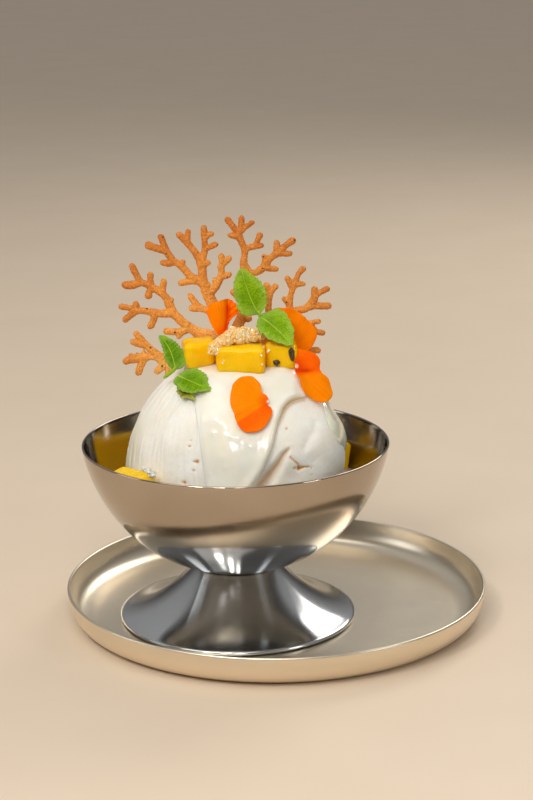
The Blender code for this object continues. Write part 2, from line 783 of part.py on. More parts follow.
def main():
    clear_scene()
    cup = new_collection("cup_of_sherbet")
    cutters = new_collection("cutters")
    axis = bpy.data.objects.new("cup_axis", None)
    axis.location = CUP_AXIS
    cup.objects.link(axis)

    steel = finish("steel", (0.72, 0.66, 0.58), 0.18, 1.0)
    sherbet = finish("sherbet", (0.86, 0.82, 0.74), 0.55)
    cream = finish("cream", (0.88, 0.84, 0.68), 0.25)
    mango = finish("mango", (0.95, 0.62, 0.03), 0.3)
    ice = finish("granita", (0.86, 0.62, 0.42), 0.3)
    wafer = finish("wafer", (0.68, 0.30, 0.11), 0.7)
    petal = finish("petal", (1.0, 0.27, 0.01), 0.6)
    mint = finish("mint", (0.20, 0.42, 0.03), 0.5)

    turned("plate", sheet_section(plate_outline(), PLATE_SHEET), steel, cup, None)
    turned("cup_bowl", sheet_section(bowl_outline(), CUP_SHEET), steel, cup, axis)
    turned("cup_foot", foot_section(), steel, cup, axis)
    add_sherbet(sherbet, cup, axis)
    add_cream(cream, cup, axis)
    add_all_mango(mango, cup, cutters, axis)
    add_granita(ice, cup, axis)
    add_coral("coral_tuile", BOUGHS, TWIGS, -3, wafer, cup, axis)
    add_coral("coral_shard", SHARD_BOUGHS, SHARD_TWIGS, -3, wafer, cup, axis)
    add_petals(petal, cup, axis)
    add_sprigs(mint, cup, axis)


main()
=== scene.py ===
"""Looks for the cup of sherbet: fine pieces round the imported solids, materials, floor, light, camera.

Lengths of the food and the cup are in millimetres from the cup's axis at the height of the plate's
floor, until a piece is made of them.
"""

import math
import random

import bmesh
import bpy
import numpy as np
from mathutils import Matrix, Vector, noise


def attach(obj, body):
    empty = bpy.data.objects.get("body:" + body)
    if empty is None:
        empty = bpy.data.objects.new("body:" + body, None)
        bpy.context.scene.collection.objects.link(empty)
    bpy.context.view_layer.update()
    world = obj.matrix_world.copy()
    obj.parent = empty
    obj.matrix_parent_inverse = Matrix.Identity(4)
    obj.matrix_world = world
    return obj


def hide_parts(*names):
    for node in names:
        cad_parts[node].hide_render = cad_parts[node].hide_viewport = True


MM = 0.001
CUP = np.array((-14.85, -5.84, 1.2))
HEART = np.array((0.0, 0.0, 55.0))

# Points along the sides of the grids that pieces are drawn on
SHERBET_COLUMNS, SHERBET_ROWS = 460, 196
CREAM_COLUMNS, CREAM_ROWS = 150, 230
MELT_GRID, PETAL_GRID, LEAF_GRID = 72, 74, 78

# The photo's camera, fitted to the ellipses of the cup's rim and foot and of the plate, and given here
# from the cup's axis. A pair of numbers called a pixel is a place across and down the photo.
PHOTO_WIDTH, PHOTO_HEIGHT = 533, 800
LENS, FILM = 94.5, 36.0
EYE = np.array((0.0, -754.3, 290.1655))
PITCH, YAW, ROLL = (math.radians(angle) for angle in (15.2741, 0.88853, -0.54263))

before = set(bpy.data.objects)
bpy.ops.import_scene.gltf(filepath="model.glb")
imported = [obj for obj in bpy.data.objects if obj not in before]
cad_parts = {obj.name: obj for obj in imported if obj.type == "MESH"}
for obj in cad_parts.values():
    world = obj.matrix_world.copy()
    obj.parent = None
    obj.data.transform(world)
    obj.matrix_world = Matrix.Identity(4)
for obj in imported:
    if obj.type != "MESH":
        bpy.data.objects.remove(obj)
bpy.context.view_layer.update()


# Sight lines


def camera_axes():
    """Unit vectors to the right of the camera, up from it and ahead of it."""
    ahead = (math.sin(YAW) * math.cos(PITCH), math.cos(YAW) * math.cos(PITCH), -math.sin(PITCH))
    level = np.array((math.cos(YAW), -math.sin(YAW), 0.0))
    right = math.cos(ROLL) * level + math.sin(ROLL) * np.cross(level, ahead)
    return right, np.cross(right, ahead), np.array(ahead)


def sight(across, down):
    """The line from the eye through a pixel, as long as 1 along the camera's axis."""
    right, up, ahead = camera_axes()
    step = FILM / (PHOTO_HEIGHT * LENS)
    return ahead + step * ((across - PHOTO_WIDTH / 2) * right - (down - PHOTO_HEIGHT / 2) * up)


def turned_frame(up, facing):
    """Side, up and facing axes as the rows of a matrix."""
    up = np.array(up, float) / np.linalg.norm(up)
    facing = np.array(facing, float)
    facing = facing - up * (facing @ up)
    facing /= np.linalg.norm(facing)
    return np.array((np.cross(up, facing), up, facing))


def on_plane(pixels, origin, up, facing):
    """Where pixels meet a plane: across it and up it from its origin, to a tenth of a millimetre."""
    axes = turned_frame(up, facing)
    away = EYE - origin
    rays = np.array([sight(*pixel) for pixel in pixels])
    reach = -(away @ axes[2]) / (rays @ axes[2])
    return np.round((away + rays * reach[:, None]) @ axes[:2].T, 1)


# Meshes


def new_piece(name, points, faces, material, nodes=(), look=None, on_cup=True):
    """A smooth mesh from points in mm, riding on the part, in place of some of its nodes."""
    points = np.asarray(points, float).reshape(-1, 3)
    mesh = bpy.data.meshes.new(name)
    mesh.from_pydata(((points + (CUP if on_cup else 0)) * MM).tolist(), [], faces)
    mesh.validate()
    return dress(add_object(name, mesh), material, nodes, look)


def add_object(name, data):
    thing = bpy.data.objects.new(name, data)
    bpy.context.scene.collection.objects.link(thing)
    return thing


def dress(thing, material, nodes=(), look=None):
    mesh = thing.data
    mesh.shade_smooth()
    mesh.materials.clear()
    mesh.materials.append(material)
    if look is not None:
        values = np.zeros((len(mesh.vertices), 3), np.float32)
        look = np.asarray(look, np.float32).reshape(len(mesh.vertices), -1)
        values[:, : look.shape[1]] = look
        attribute = mesh.attributes.new("look", "FLOAT_VECTOR", "POINT")
        attribute.data.foreach_set("vector", values.ravel())
    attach(thing, "root")
    if nodes:
        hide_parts(*nodes)
    return thing


def bake(thing):
    """Puts what the modifiers make into the mesh."""
    bpy.context.view_layer.update()
    graph = bpy.context.evaluated_depsgraph_get()
    mesh = bpy.data.meshes.new_from_object(thing.evaluated_get(graph))
    thing.modifiers.clear()
    thing.data = mesh


def modify(thing, kind, **values):
    modifier = thing.modifiers.new(kind.title(), kind)
    for name, value in values.items():
        setattr(modifier, name, value)


def coordinates(mesh):
    values = np.zeros(len(mesh.vertices) * 3, np.float32)
    mesh.vertices.foreach_get("co", values)
    return values.reshape(-1, 3).astype(float)


def normals(mesh):
    values = np.zeros(len(mesh.vertices) * 3, np.float32)
    mesh.vertices.foreach_get("normal", values)
    return values.reshape(-1, 3).astype(float)


def move_vertices(mesh, points):
    mesh.vertices.foreach_set("co", points.astype(np.float32).ravel())
    mesh.update()


def waves(points, size, seed=0.0):
    """Smooth noise from -1 to 1 at points, with features about as wide as size."""
    points = np.asarray(points)
    scaled = points.reshape(-1, 3) / size + seed
    return np.array([noise.noise(Vector(point)) for point in scaled]).reshape(points.shape[:-1])


def hill(away, width):
    """1 where away is 0, and falling to nothing over a few widths."""
    return np.exp(-((away / width) ** 2))


def grid_faces(rows, columns, first=0, around=False, flip=False):
    """Quads of a grid of points laid out row by row, closed across the columns if around."""
    faces = []
    for i in range(rows - 1):
        for j in range(columns if around else columns - 1):
            k = (j + 1) % columns
            quad = [first + i * columns + j, first + i * columns + k]
            quad += [first + (i + 1) * columns + k, first + (i + 1) * columns + j]
            faces.append(quad[::-1] if flip else quad)
    return faces


def grid_normals(front):
    across = np.cross(np.gradient(front, axis=1), np.gradient(front, axis=0))
    return across / np.maximum(np.linalg.norm(across, axis=2, keepdims=True), 1e-12)


def two_sided(front, back):
    """Points and faces of a closed skin between two grids of the same size."""
    rows, columns = front.shape[:2]
    points = np.concatenate((front.reshape(-1, 3), back.reshape(-1, 3)))
    count = rows * columns
    faces = grid_faces(rows, columns) + grid_faces(rows, columns, count, flip=True)
    rim = list(range(columns))
    rim += [i * columns + columns - 1 for i in range(1, rows)]
    rim += [(rows - 1) * columns + j for j in range(columns - 2, -1, -1)]
    rim += [i * columns for i in range(rows - 2, 0, -1)]
    for a, b in zip(rim, rim[1:] + rim[:1]):
        faces.append([b, a, a + count, b + count])
    return points, faces


def ease(value, low, high):
    """A smooth step from 0 at low to 1 at high."""
    share = np.clip((np.asarray(value, float) - low) / (high - low), 0, 1)
    return share * share * (3 - 2 * share)


def between(value, stops):
    return np.interp(value, [stop[0] for stop in stops], [stop[1] for stop in stops])


# Node trees


def new_material(name):
    material = bpy.data.materials.new(name)
    material.use_nodes = True
    return material, material.node_tree, material.node_tree.nodes["Principled BSDF"]


def put(tree, kind, inputs, output=0, **settings):
    """Adds a node. Inputs map a socket's name or number to a value, or to another node's output."""
    made = tree.nodes.new(kind)
    for name, value in settings.items():
        setattr(made, name, value)
    for socket, value in inputs.items():
        if isinstance(value, bpy.types.NodeSocket):
            tree.links.new(value, made.inputs[socket])
        else:
            made.inputs[socket].default_value = value
    return made.outputs[output]


def spot(tree):
    return put(tree, "ShaderNodeTexCoord", {}, "Object")


def grain(tree, size, detail=3.0, rough=0.55, place=None, stretch=None):
    """Noise from 0 to 1 with features about as wide as size, in mm."""
    place = place or spot(tree)
    if stretch:
        place = put(tree, "ShaderNodeMapping", {"Vector": place, "Scale": stretch})
    values = {"Vector": place, "Scale": 1 / (size * MM), "Detail": detail, "Roughness": rough}
    return put(tree, "ShaderNodeTexNoise", values, "Fac")


def ramp(tree, factor, *stops):
    """A colour ramp with stops of place and colour, a colour being a grey or three numbers."""
    made = tree.nodes.new("ShaderNodeValToRGB")
    tree.links.new(factor, made.inputs["Fac"])
    points = made.color_ramp.elements
    while len(points) < len(stops):
        points.new(0.5)
    for point, (place, colour) in zip(points, stops):
        point.position = place
        colour = (colour,) * 3 if isinstance(colour, (int, float)) else colour
        point.color = (*colour, 1)
    return made.outputs["Color"]


def mix(tree, factor, first, second, blend="MIX"):
    made = tree.nodes.new("ShaderNodeMix")
    made.data_type = "RGBA"
    made.blend_type = blend
    for number, value in ((0, factor), (6, first), (7, second)):
        if isinstance(value, bpy.types.NodeSocket):
            tree.links.new(value, made.inputs[number])
        elif number:
            made.inputs[number].default_value = (*value, 1)
        else:
            made.inputs[number].default_value = value
    return made.outputs[2]


def shaded(colour, share):
    """A colour made darker or lighter by a share."""
    return tuple(part * share for part in colour)


def reckon(tree, operation, first, second=0.0, third=0.0):
    return put(tree, "ShaderNodeMath", {0: first, 1: second, 2: third}, operation=operation)


def bump(tree, shader, height, distance, strength=1.0, under=None):
    values = {"Height": height, "Distance": distance * MM, "Strength": strength}
    if under:
        values["Normal"] = under
    made = put(tree, "ShaderNodeBump", values, "Normal")
    tree.links.new(made, shader.inputs["Normal"])
    return made


def set_values(shader, **values):
    names = {
        "coat": "Coat Weight",
        "coat_roughness": "Coat Roughness",
        "depth": "Subsurface Scale",
        "glow": "Subsurface Radius",
        "ior": "IOR",
        "specular": "Specular IOR Level",
        "subsurface": "Subsurface Weight",
        "transmission": "Transmission Weight",
        "anisotropy": "Anisotropic",
        "rotation": "Anisotropic Rotation",
    }
    for name, value in values.items():
        shader.inputs[names.get(name, name.title())].default_value = value


def finish_look(tree, shader, colour, rough, **values):
    """Joins a colour and a roughness to the shader, and sets its other values."""
    tree.links.new(colour, shader.inputs["Base Color"])
    tree.links.new(rough, shader.inputs["Roughness"])
    set_values(shader, **values)


def look_parts(tree):
    """The three numbers that a mesh carries for its material."""
    values = put(tree, "ShaderNodeAttribute", {}, "Vector", attribute_name="look")
    split = tree.nodes.new("ShaderNodeSeparateXYZ")
    tree.links.new(values, split.inputs[0])
    return split.outputs


# Materials

# Steel colours. The plate's and the bowl's are tinted warm, a painted reflection of a brown wooden
# table, and the bowl's is also darkened, a painted reflection of a dim room
PLATE_STEEL_AND_REFLECTION = (0.82, 0.72, 0.57)
BOWL_STEEL_AND_REFLECTION = (0.46, 0.38, 0.30)
FOOT_STEEL = (0.54, 0.55, 0.56)
# Two darker colours for the bowl, a painted reflection: they stand in for the dark room that the bowl
# reflects
INNER_PAINTED_REFLECTION = (0.36, 0.32, 0.27)
LOWER_PAINTED_REFLECTION = (0.33, 0.32, 0.30)


def steel_material(name, colour, rough, centre, worn=1.0, spun=0.0, below=None):
    """Spun steel: fine rings round its axis, worn cloudy patches and thin hairline scratches, and
    painted reflection: darker on the inside, and darker low down where a below colour is given.
    """
    material, tree, shader = new_material(name)
    place = put(tree, "ShaderNodeVectorMath", {0: spot(tree), 1: centre}, operation="SUBTRACT")
    split = tree.nodes.new("ShaderNodeSeparateXYZ")
    tree.links.new(place, split.inputs[0])
    squares = reckon(tree, "MULTIPLY", split.outputs[0], split.outputs[0])
    squares = reckon(tree, "MULTIPLY_ADD", split.outputs[1], split.outputs[1], squares)
    radius = reckon(tree, "SQRT", squares)
    rings_at = put(tree, "ShaderNodeCombineXYZ", {0: radius, 1: split.outputs[2]})
    rings = grain(tree, 0.5, 3, 0.6, rings_at)
    cloud = grain(tree, 16, 4, 0.6)
    smear = grain(tree, 3.5, 3, 0.6, stretch=(1, 0.35, 1))
    scratch = grain(tree, 1.1, 2, 0.5, stretch=(0.15, 1.6, 0.4))
    scratch = ramp(tree, scratch, (0.63, 0.0), (0.68, 1.0))
    shade = mix(tree, cloud, shaded(colour, 1 - 0.1 * worn), shaded(colour, 1 + 0.07 * worn))
    smear = ramp(tree, smear, (0.5, 0.0), (0.9, 0.3 * worn))
    shade = mix(tree, smear, shade, shaded(colour, 0.8))
    # Painted reflection: the below colour low on the outside of the bowl
    if below:
        height = reckon(tree, "MULTIPLY", split.outputs[2], 1 / (RIM_HEIGHT * MM))
        shade = mix(tree, ramp(tree, height, (0.6, 1.0), (0.76, 0.0)), shade, below)
    # Painted reflection: the dark colour on the inside
    inner = look_parts(tree)[0]
    shade = mix(tree, inner, shade, INNER_PAINTED_REFLECTION)
    wear = reckon(tree, "MULTIPLY_ADD", cloud, 0.14 * worn, rough - 0.07 * worn)
    for layer, share in ((rings, 0.05), (scratch, 0.06), (inner, 0.02)):
        wear = reckon(tree, "MULTIPLY_ADD", layer, share, wear)
    finish_look(tree, shader, shade, wear, metallic=1.0, anisotropy=spun, rotation=0.25)
    around = put(tree, "ShaderNodeTangent", {}, direction_type="RADIAL", axis="Z")
    tree.links.new(around, shader.inputs["Tangent"])
    bump(tree, shader, rings, 0.006, 0.55)
    return material


def sherbet_material():
    """Frozen, faintly porous and matt, with tan stain in the pits and cracks, tan painted shade in the
    valley and along the cream's arch, and wet where it melts.
    """
    material, tree, shader = new_material("sherbet_look")
    stain_and_shade, wet, _ = look_parts(tree)
    broad = grain(tree, 9, 4)
    fine = grain(tree, 0.7, 4, 0.65)
    colour = ramp(tree, broad, (0.3, (0.84, 0.80, 0.70)), (0.62, (0.89, 0.875, 0.81)))
    colour = mix(tree, ramp(tree, fine, (0.3, 0.35), (0.6, 0.0)), colour, (0.79, 0.73, 0.62))
    colour = mix(tree, wet, colour, (0.88, 0.80, 0.60))
    # Tan: stain in the pits and crack, painted shade in the valley and along the arch
    tan_mark = reckon(tree, "MULTIPLY", stain_and_shade, reckon(tree, "MULTIPLY_ADD", fine, 0.8, 0.6))
    colour = mix(tree, ramp(tree, tan_mark, (0.05, 0.0), (0.8, 1.0)), colour, (0.60, 0.29, 0.05))
    tree.links.new(colour, shader.inputs["Base Color"])
    rough = reckon(tree, "MULTIPLY_ADD", wet, -0.3, reckon(tree, "MULTIPLY_ADD", fine, 0.25, 0.45))
    tree.links.new(rough, shader.inputs["Roughness"])
    set_values(shader, subsurface=0.35, depth=0.004)
    shader.inputs["Subsurface Radius"].default_value = (1.0, 0.75, 0.5)
    under = bump(tree, shader, fine, 0.12, 0.5)
    bump(tree, shader, grain(tree, 0.22, 2), 0.04, 0.35, under)
    return material


def cream_material():
    """Poured cream: glossy, ivory, with a soft skin."""
    material, tree, shader = new_material("cream_look")
    broad = grain(tree, 12, 3)
    fine = grain(tree, 1.6, 3)
    colour = ramp(tree, broad, (0.3, (0.87, 0.81, 0.66)), (0.65, (0.92, 0.88, 0.77)))
    # Painted shadow: tan along the cream's right edge
    colour = mix(tree, look_parts(tree)[0], colour, (0.66, 0.42, 0.16))
    rough = ramp(tree, fine, (0.3, 0.09), (0.7, 0.15))
    finish_look(tree, shader, colour, rough, subsurface=0.4, depth=0.004, glow=(1.0, 0.8, 0.5))
    set_values(shader, coat=0.3, coat_roughness=0.04, specular=0.5)
    under = bump(tree, shader, fine, 0.14, 0.25)
    bump(tree, shader, grain(tree, 0.35, 2), 0.015, 0.25, under)
    return material


def mango_material(name, pale, deep, threads=0.16, stretch=(1.8, 0.5, 0.2)):
    """Ripe fruit flesh with faint fibres across it, under a wet glaze, with painted shade towards its
    edges.
    """
    material, tree, shader = new_material(name)
    fibre = grain(tree, 1.3, 4, 0.6, stretch=(1.6, 0.6, 0.45))
    cloud = grain(tree, 4.5, 3)
    colour = mix(tree, ramp(tree, cloud, (0.3, 0.0), (0.7, 1.0)), deep, pale)
    colour = mix(tree, ramp(tree, fibre, (0.36, 0.3), (0.52, 0.0)), colour, shaded(deep, 0.95))
    thread = ramp(tree, grain(tree, 0.5, 3, 0.6, stretch=stretch), (0.5, 0.0), (0.74, threads))
    colour = mix(tree, thread, colour, (1.0, 0.80, 0.12))
    # Painted shade: deeper orange towards the sides and bottom of the cubes on top
    edge = ramp(tree, look_parts(tree)[0], (0.0, 0.0), (1.0, 0.6))
    colour = mix(tree, edge, colour, (1.0, 0.38, 0.0))
    rough = ramp(tree, cloud, (0.3, 0.1), (0.7, 0.2))
    finish_look(tree, shader, colour, rough, subsurface=0.6, depth=0.003, glow=(1.0, 0.5, 0.05))
    set_values(shader, coat=0.08, coat_roughness=0.02, specular=0.15)
    bump(tree, shader, fibre, 0.07, 0.3)
    return material


def granita_material():
    """Sugary peach ice, some of its grains nearly white, a few of them painted glints."""
    material, tree, shader = new_material("granita_look")
    kind = look_parts(tree)[0]
    speck = grain(tree, 0.6, 3)
    stops = ((0.0, (1.0, 0.54, 0.14)), (0.6, (1.0, 0.67, 0.28)), (1.0, (1.0, 0.88, 0.70)))
    colour = ramp(tree, kind, *stops)
    colour = mix(tree, ramp(tree, speck, (0.35, 0.25), (0.6, 0.0)), colour, (1.0, 0.52, 0.16))
    rough = ramp(tree, speck, (0.3, 0.1), (0.7, 0.3))
    finish_look(tree, shader, colour, rough, subsurface=0.5, depth=0.0005, glow=(1.0, 0.8, 0.6))
    set_values(shader, coat=0.8, coat_roughness=0.02, specular=0.4, ior=1.31)
    bump(tree, shader, grain(tree, 0.3, 2), 0.06, 0.5)
    return material


def wafer_material():
    """Baked tuile: granular, paler near its root, browned towards its ends, with dark specks."""
    material, tree, shader = new_material("wafer_look")
    reach = look_parts(tree)[0]
    patch = grain(tree, 5, 4)
    crumb = grain(tree, 0.55, 4, 0.7)
    baked = reckon(tree, "MULTIPLY_ADD", patch, 0.7, reckon(tree, "SUBTRACT", reach, 0.35))
    stops = ((0.0, (1.0, 0.54, 0.13)), (0.4, (0.93, 0.37, 0.055)), (0.9, (0.58, 0.155, 0.012)))
    colour = ramp(tree, baked, *stops)
    colour = mix(tree, ramp(tree, crumb, (0.37, 0.6), (0.55, 0.0)), colour, (0.40, 0.12, 0.018))
    colour = mix(tree, ramp(tree, crumb, (0.55, 0.0), (0.72, 0.5)), colour, (1.0, 0.62, 0.22))
    cells = {"Vector": spot(tree), "Scale": 1 / (4.2 * MM), "Randomness": 1.0}
    near = put(tree, "ShaderNodeTexVoronoi", cells, "Distance")
    speck = ramp(tree, near, (0.07, 1.0), (0.12, 0.0))
    colour = mix(tree, speck, colour, (0.06, 0.025, 0.01))
    rough = ramp(tree, crumb, (0.3, 0.45), (0.7, 0.75))
    finish_look(tree, shader, colour, rough, subsurface=0.12, depth=0.0015, glow=(1.0, 0.5, 0.2))
    set_values(shader, specular=0.3)
    bump(tree, shader, crumb, 0.3, 0.9)
    return material


def petal_material():
    """Velvety orange, redder towards the claw, with fine veins that fan out from it, and deep red
    painted shade in its folds.
    """
    material, tree, shader = new_material("petal_look")
    turn, far, low = look_parts(tree)
    lines_at = put(tree, "ShaderNodeCombineXYZ", {0: reckon(tree, "MULTIPLY", turn, 26.0), 1: far})
    veins = put(tree, "ShaderNodeTexNoise", {"Vector": lines_at, "Scale": 1.0, "Detail": 3.0}, "Fac")
    cloud = grain(tree, 4, 3)
    # The low share is painted shade: deep red in creases and on faces turned from the light
    body = reckon(tree, "MULTIPLY_ADD", low, 0.67, reckon(tree, "MULTIPLY_ADD", cloud, 0.27, -0.135))
    stops = ((0.0, (1.0, 0.26, 0.0)), (0.6, (1.0, 0.135, 0.0)), (1.0, (0.60, 0.03, 0.0)))
    colour = ramp(tree, body, *stops)
    colour = mix(tree, ramp(tree, far, (0.05, 0.8), (0.3, 0.0)), colour, (0.85, 0.06, 0.0))
    colour = mix(tree, ramp(tree, veins, (0.36, 0.3), (0.5, 0.0)), colour, (0.92, 0.10, 0.0))
    colour = mix(tree, ramp(tree, far, (0.02, 0.8), (0.06, 0.0)), colour, (1.0, 0.86, 0.62))
    rough = ramp(tree, cloud, (0.3, 0.5), (0.7, 0.65))
    finish_look(tree, shader, colour, rough, subsurface=0.25, depth=0.001, glow=(1.0, 0.35, 0.05))
    set_values(shader, specular=0.04)
    bump(tree, shader, veins, 0.08, 0.35)
    return material


def mint_material(name, pale, deep):
    """Leaf green, paler along its midrib and side veins, with painted shade near the midrib's base and
    painted light towards the edge.
    """
    material, tree, shader = new_material(name)
    vein, rim, core = look_parts(tree)
    cloud = grain(tree, 3, 4)
    cells = grain(tree, 0.45, 3)
    colour = mix(tree, ramp(tree, cloud, (0.3, 0.0), (0.7, 1.0)), deep, pale)
    colour = mix(tree, ramp(tree, cells, (0.38, 0.75), (0.56, 0.0)), colour, shaded(deep, 0.55))
    # Painted shade: darker near the midrib's base
    colour = mix(tree, ramp(tree, core, (0.0, 0.0), (1.0, 0.75)), colour, shaded(deep, 0.75))
    # Painted light: paler yellow-green towards the edge
    colour = mix(tree, ramp(tree, rim, (0.55, 0.0), (1.0, 0.45)), colour, (0.40, 0.56, 0.10))
    colour = mix(tree, ramp(tree, vein, (0.2, 0.0), (1.0, 0.75)), colour, (0.52, 0.66, 0.06))
    rough = ramp(tree, cells, (0.3, 0.36), (0.7, 0.55))
    finish_look(tree, shader, colour, rough, subsurface=0.2, depth=0.001, glow=(0.5, 1.0, 0.1))
    set_values(shader, specular=0.1)
    bump(tree, shader, cells, 0.08, 0.5)
    return material


def seed_material():
    material, tree, shader = new_material("seed_look")
    speck = grain(tree, 0.7, 3)
    colour = ramp(tree, speck, (0.3, (0.018, 0.012, 0.004)), (0.7, (0.09, 0.055, 0.012)))
    finish_look(tree, shader, colour, ramp(tree, speck, (0.3, 0.2), (0.7, 0.45)))
    bump(tree, shader, speck, 0.1, 0.5)
    return material


def melt_material():
    """A clear, slightly yellow melt."""
    material, tree, shader = new_material("melt_look")
    cloud = grain(tree, 3, 3)
    colour = ramp(tree, cloud, (0.3, (0.94, 0.88, 0.60)), (0.7, (0.97, 0.94, 0.78)))
    rough = ramp(tree, cloud, (0.3, 0.14), (0.7, 0.25))
    finish_look(tree, shader, colour, rough, subsurface=0.3, depth=0.002)
    set_values(shader, transmission=0.35, coat=0.15, coat_roughness=0.1, ior=1.36)
    bump(tree, shader, cloud, 0.1, 0.4)
    return material


# Turned steel

PLATE_RADIUS, PLATE_HEIGHT, PLATE_FLAT, PLATE_SHEET = 80.0, 11.7, 68.5, 1.2
RIM_RADIUS, RIM_HEIGHT, CUP_SHEET = 57.5, 68.0, 0.9
SEAM_RADIUS, SEAM_HEIGHT, FOOT_RADIUS, HEM, GAP = 16.7, 21.0, 44.8, 1.7, 0.3
TURN_STEPS, WALL_STEPS = 256, 48


def bezier(start, first, second, end, count):
    t = np.linspace(0, 1, count)[:, None]
    points = [np.array(point, float) for point in (start, first, second, end)]
    weights = ((1 - t) ** 3, 3 * (1 - t) ** 2 * t, 3 * (1 - t) * t**2, t**3)
    return sum(weight * point for weight, point in zip(weights, points))


def offset(outline, distance):
    along = np.gradient(outline, axis=0)
    along /= np.linalg.norm(along, axis=1, keepdims=True)
    moved = outline + distance * np.stack((along[:, 1], -along[:, 0]), 1)
    moved[:, 0] = np.maximum(moved[:, 0], 0)
    return moved


def flat_run(start, end, count):
    return np.linspace(start, end, count + 1)[1:]


def lip(outer, inner, count=7):
    """A half round from the inner edge to the outer one, over the top of a sheet."""
    middle, half = (outer + inner) / 2, (outer - inner) / 2
    turns = np.linspace(math.pi, 0, count)[1:-1]
    rise = np.array((-half[1], half[0]))
    return np.array([middle + half * math.cos(turn) + rise * math.sin(turn) for turn in turns])


def turned(name, section, material, node, on_cup, inner=0):
    """A closed turned body from a section from pole to pole, its first points marked as inner."""
    turns = np.arange(TURN_STEPS) * 2 * math.pi / TURN_STEPS
    ring = section[1:-1]
    points = np.stack(
        (
            np.outer(ring[:, 0], np.cos(turns)),
            np.outer(ring[:, 0], np.sin(turns)),
            np.outer(ring[:, 1], np.ones(TURN_STEPS)),
        ),
        2,
    ).reshape(-1, 3)
    faces = grid_faces(len(ring), TURN_STEPS, 0, around=True)
    poles = [(0, 0, section[0][1]), (0, 0, section[-1][1])]
    count = len(points)
    last = count - TURN_STEPS
    for j in range(TURN_STEPS):
        k = (j + 1) % TURN_STEPS
        faces.append([count, k, j])
        faces.append([count + 1, last + j, last + k])
    points = np.concatenate((points, poles))
    # The look marks the inner points, which get painted reflection in the steel
    look = np.zeros(len(points))
    look[: inner * TURN_STEPS] = 1.0
    look[count] = inner > 0
    thing = new_piece(name, points, faces, material, [node], look, on_cup)
    thing.data.set_sharp_from_angle(angle=math.radians(50))
    return thing


def bowl_section():
    """The bowl's outer and inner outlines from the rim down to the axis."""
    floor = SEAM_HEIGHT + GAP
    bends = ((RIM_RADIUS - 2.0, 54.9), (44.8, 30.2))
    wall = bezier((RIM_RADIUS, RIM_HEIGHT), *bends, (18.0, floor + 0.7), WALL_STEPS)
    outer = np.concatenate((wall, [(16.2, floor)], flat_run((16.2, floor), (0.0, floor), 4)))
    return outer, offset(outer, CUP_SHEET)


def add_steel():
    axis = tuple(CUP * MM)
    plate_look = steel_material("plate_look", PLATE_STEEL_AND_REFLECTION, 0.29, (0, 0, 0), 0.4)
    cup_look = steel_material("cup_look", BOWL_STEEL_AND_REFLECTION, 0.08, axis, 0.7, 0.75, LOWER_PAINTED_REFLECTION)
    foot_look = steel_material("foot_look", FOOT_STEEL, 0.125, axis, 0.7, 0.88)

    wall = bezier(
        (PLATE_RADIUS, PLATE_HEIGHT),
        (PLATE_RADIUS - 0.7, 0.38 * PLATE_HEIGHT),
        (PLATE_RADIUS - 2.8, 0.0),
        (PLATE_FLAT, 0.0),
        26,
    )
    outer = np.concatenate((wall, flat_run((PLATE_FLAT, 0.0), (0.0, 0.0), 12)))
    inner = offset(outer, PLATE_SHEET)
    section = np.concatenate((inner[::-1], lip(outer[0], inner[0]), outer))
    turned("plate_steel", section, plate_look, "plate", False)

    outer, inner = bowl_section()
    section = np.concatenate((inner[::-1], lip(outer[0], inner[0]), outer))
    turned("bowl_steel", section, cup_look, "cup_bowl", True, len(inner) - 1)

    trumpet = bezier(
        (SEAM_RADIUS, SEAM_HEIGHT - 0.4),
        (SEAM_RADIUS + 3.0, 16.0),
        (FOOT_RADIUS - 14.0, 3.8),
        (FOOT_RADIUS - 0.5, HEM),
        44,
    )
    top = np.array([(0.0, SEAM_HEIGHT), (SEAM_RADIUS - 0.4, SEAM_HEIGHT)])
    turns = np.linspace(math.radians(70), math.radians(-90), 9)
    half = (HEM - GAP) / 2
    middle = np.array((FOOT_RADIUS - half, GAP + half))
    hem = [middle + half * np.array((math.cos(t), math.sin(t))) for t in turns]
    outer = np.concatenate((top, trumpet))
    inner = offset(outer, CUP_SHEET)
    inner[0] = (0.0, SEAM_HEIGHT - CUP_SHEET)
    foot_edge = np.array([(FOOT_RADIUS - 2.0, GAP + 0.1)])
    section = np.concatenate((outer, hem, foot_edge, inner[:-2][::-1]))[::-1]
    turned("foot_steel", section, foot_look, "cup_foot", True)


# The sherbet's surface

SCOOPS = (
    ((-1, 0, 55), (40, 38, 47)),
    ((15, -9, 66), (25.5, 25.5, 25.5)),
    ((14, -4, 82), (18, 18, 18)),
)
SCOOP_BLEND = 4.0
MOUND_TOP = 97.8
FILL_HEIGHT = 50.0


def blend(a, b, width):
    overlap = np.maximum(width - np.abs(a - b), 0) / width
    return np.minimum(a, b) - overlap**2 * width / 4


def mound_distance(points):
    distance = np.full(points.shape[:-1], 1000.0)
    for centre, radii in SCOOPS:
        local = points - centre
        scaled = np.linalg.norm(local / radii, axis=-1)
        steep = np.linalg.norm(local / np.square(radii), axis=-1)
        distance = blend(distance, scaled * (scaled - 1) / np.maximum(steep, 1e-9), SCOOP_BLEND)
    return -blend(-distance, MOUND_TOP - points[..., 2], SCOOP_BLEND)


def mound_points(directions, lift=0.0):
    """Where rays from the heart meet the surface that lies a lift above the sherbet."""
    directions = np.asarray(directions, float)
    near = np.zeros(directions.shape[:-1])
    far = np.full(directions.shape[:-1], 75.0)
    for _ in range(26):
        middle = (near + far) / 2
        inside = mound_distance(HEART + directions * middle[..., None]) < lift
        near = np.where(inside, middle, near)
        far = np.where(inside, far, middle)
    return HEART + directions * near[..., None]


def over_the_top(over, side):
    over, side = np.radians(over), np.radians(side)
    flat = np.cos(side)
    return np.stack((np.sin(side) + 0 * over, -flat * np.cos(over), flat * np.sin(over)), -1)


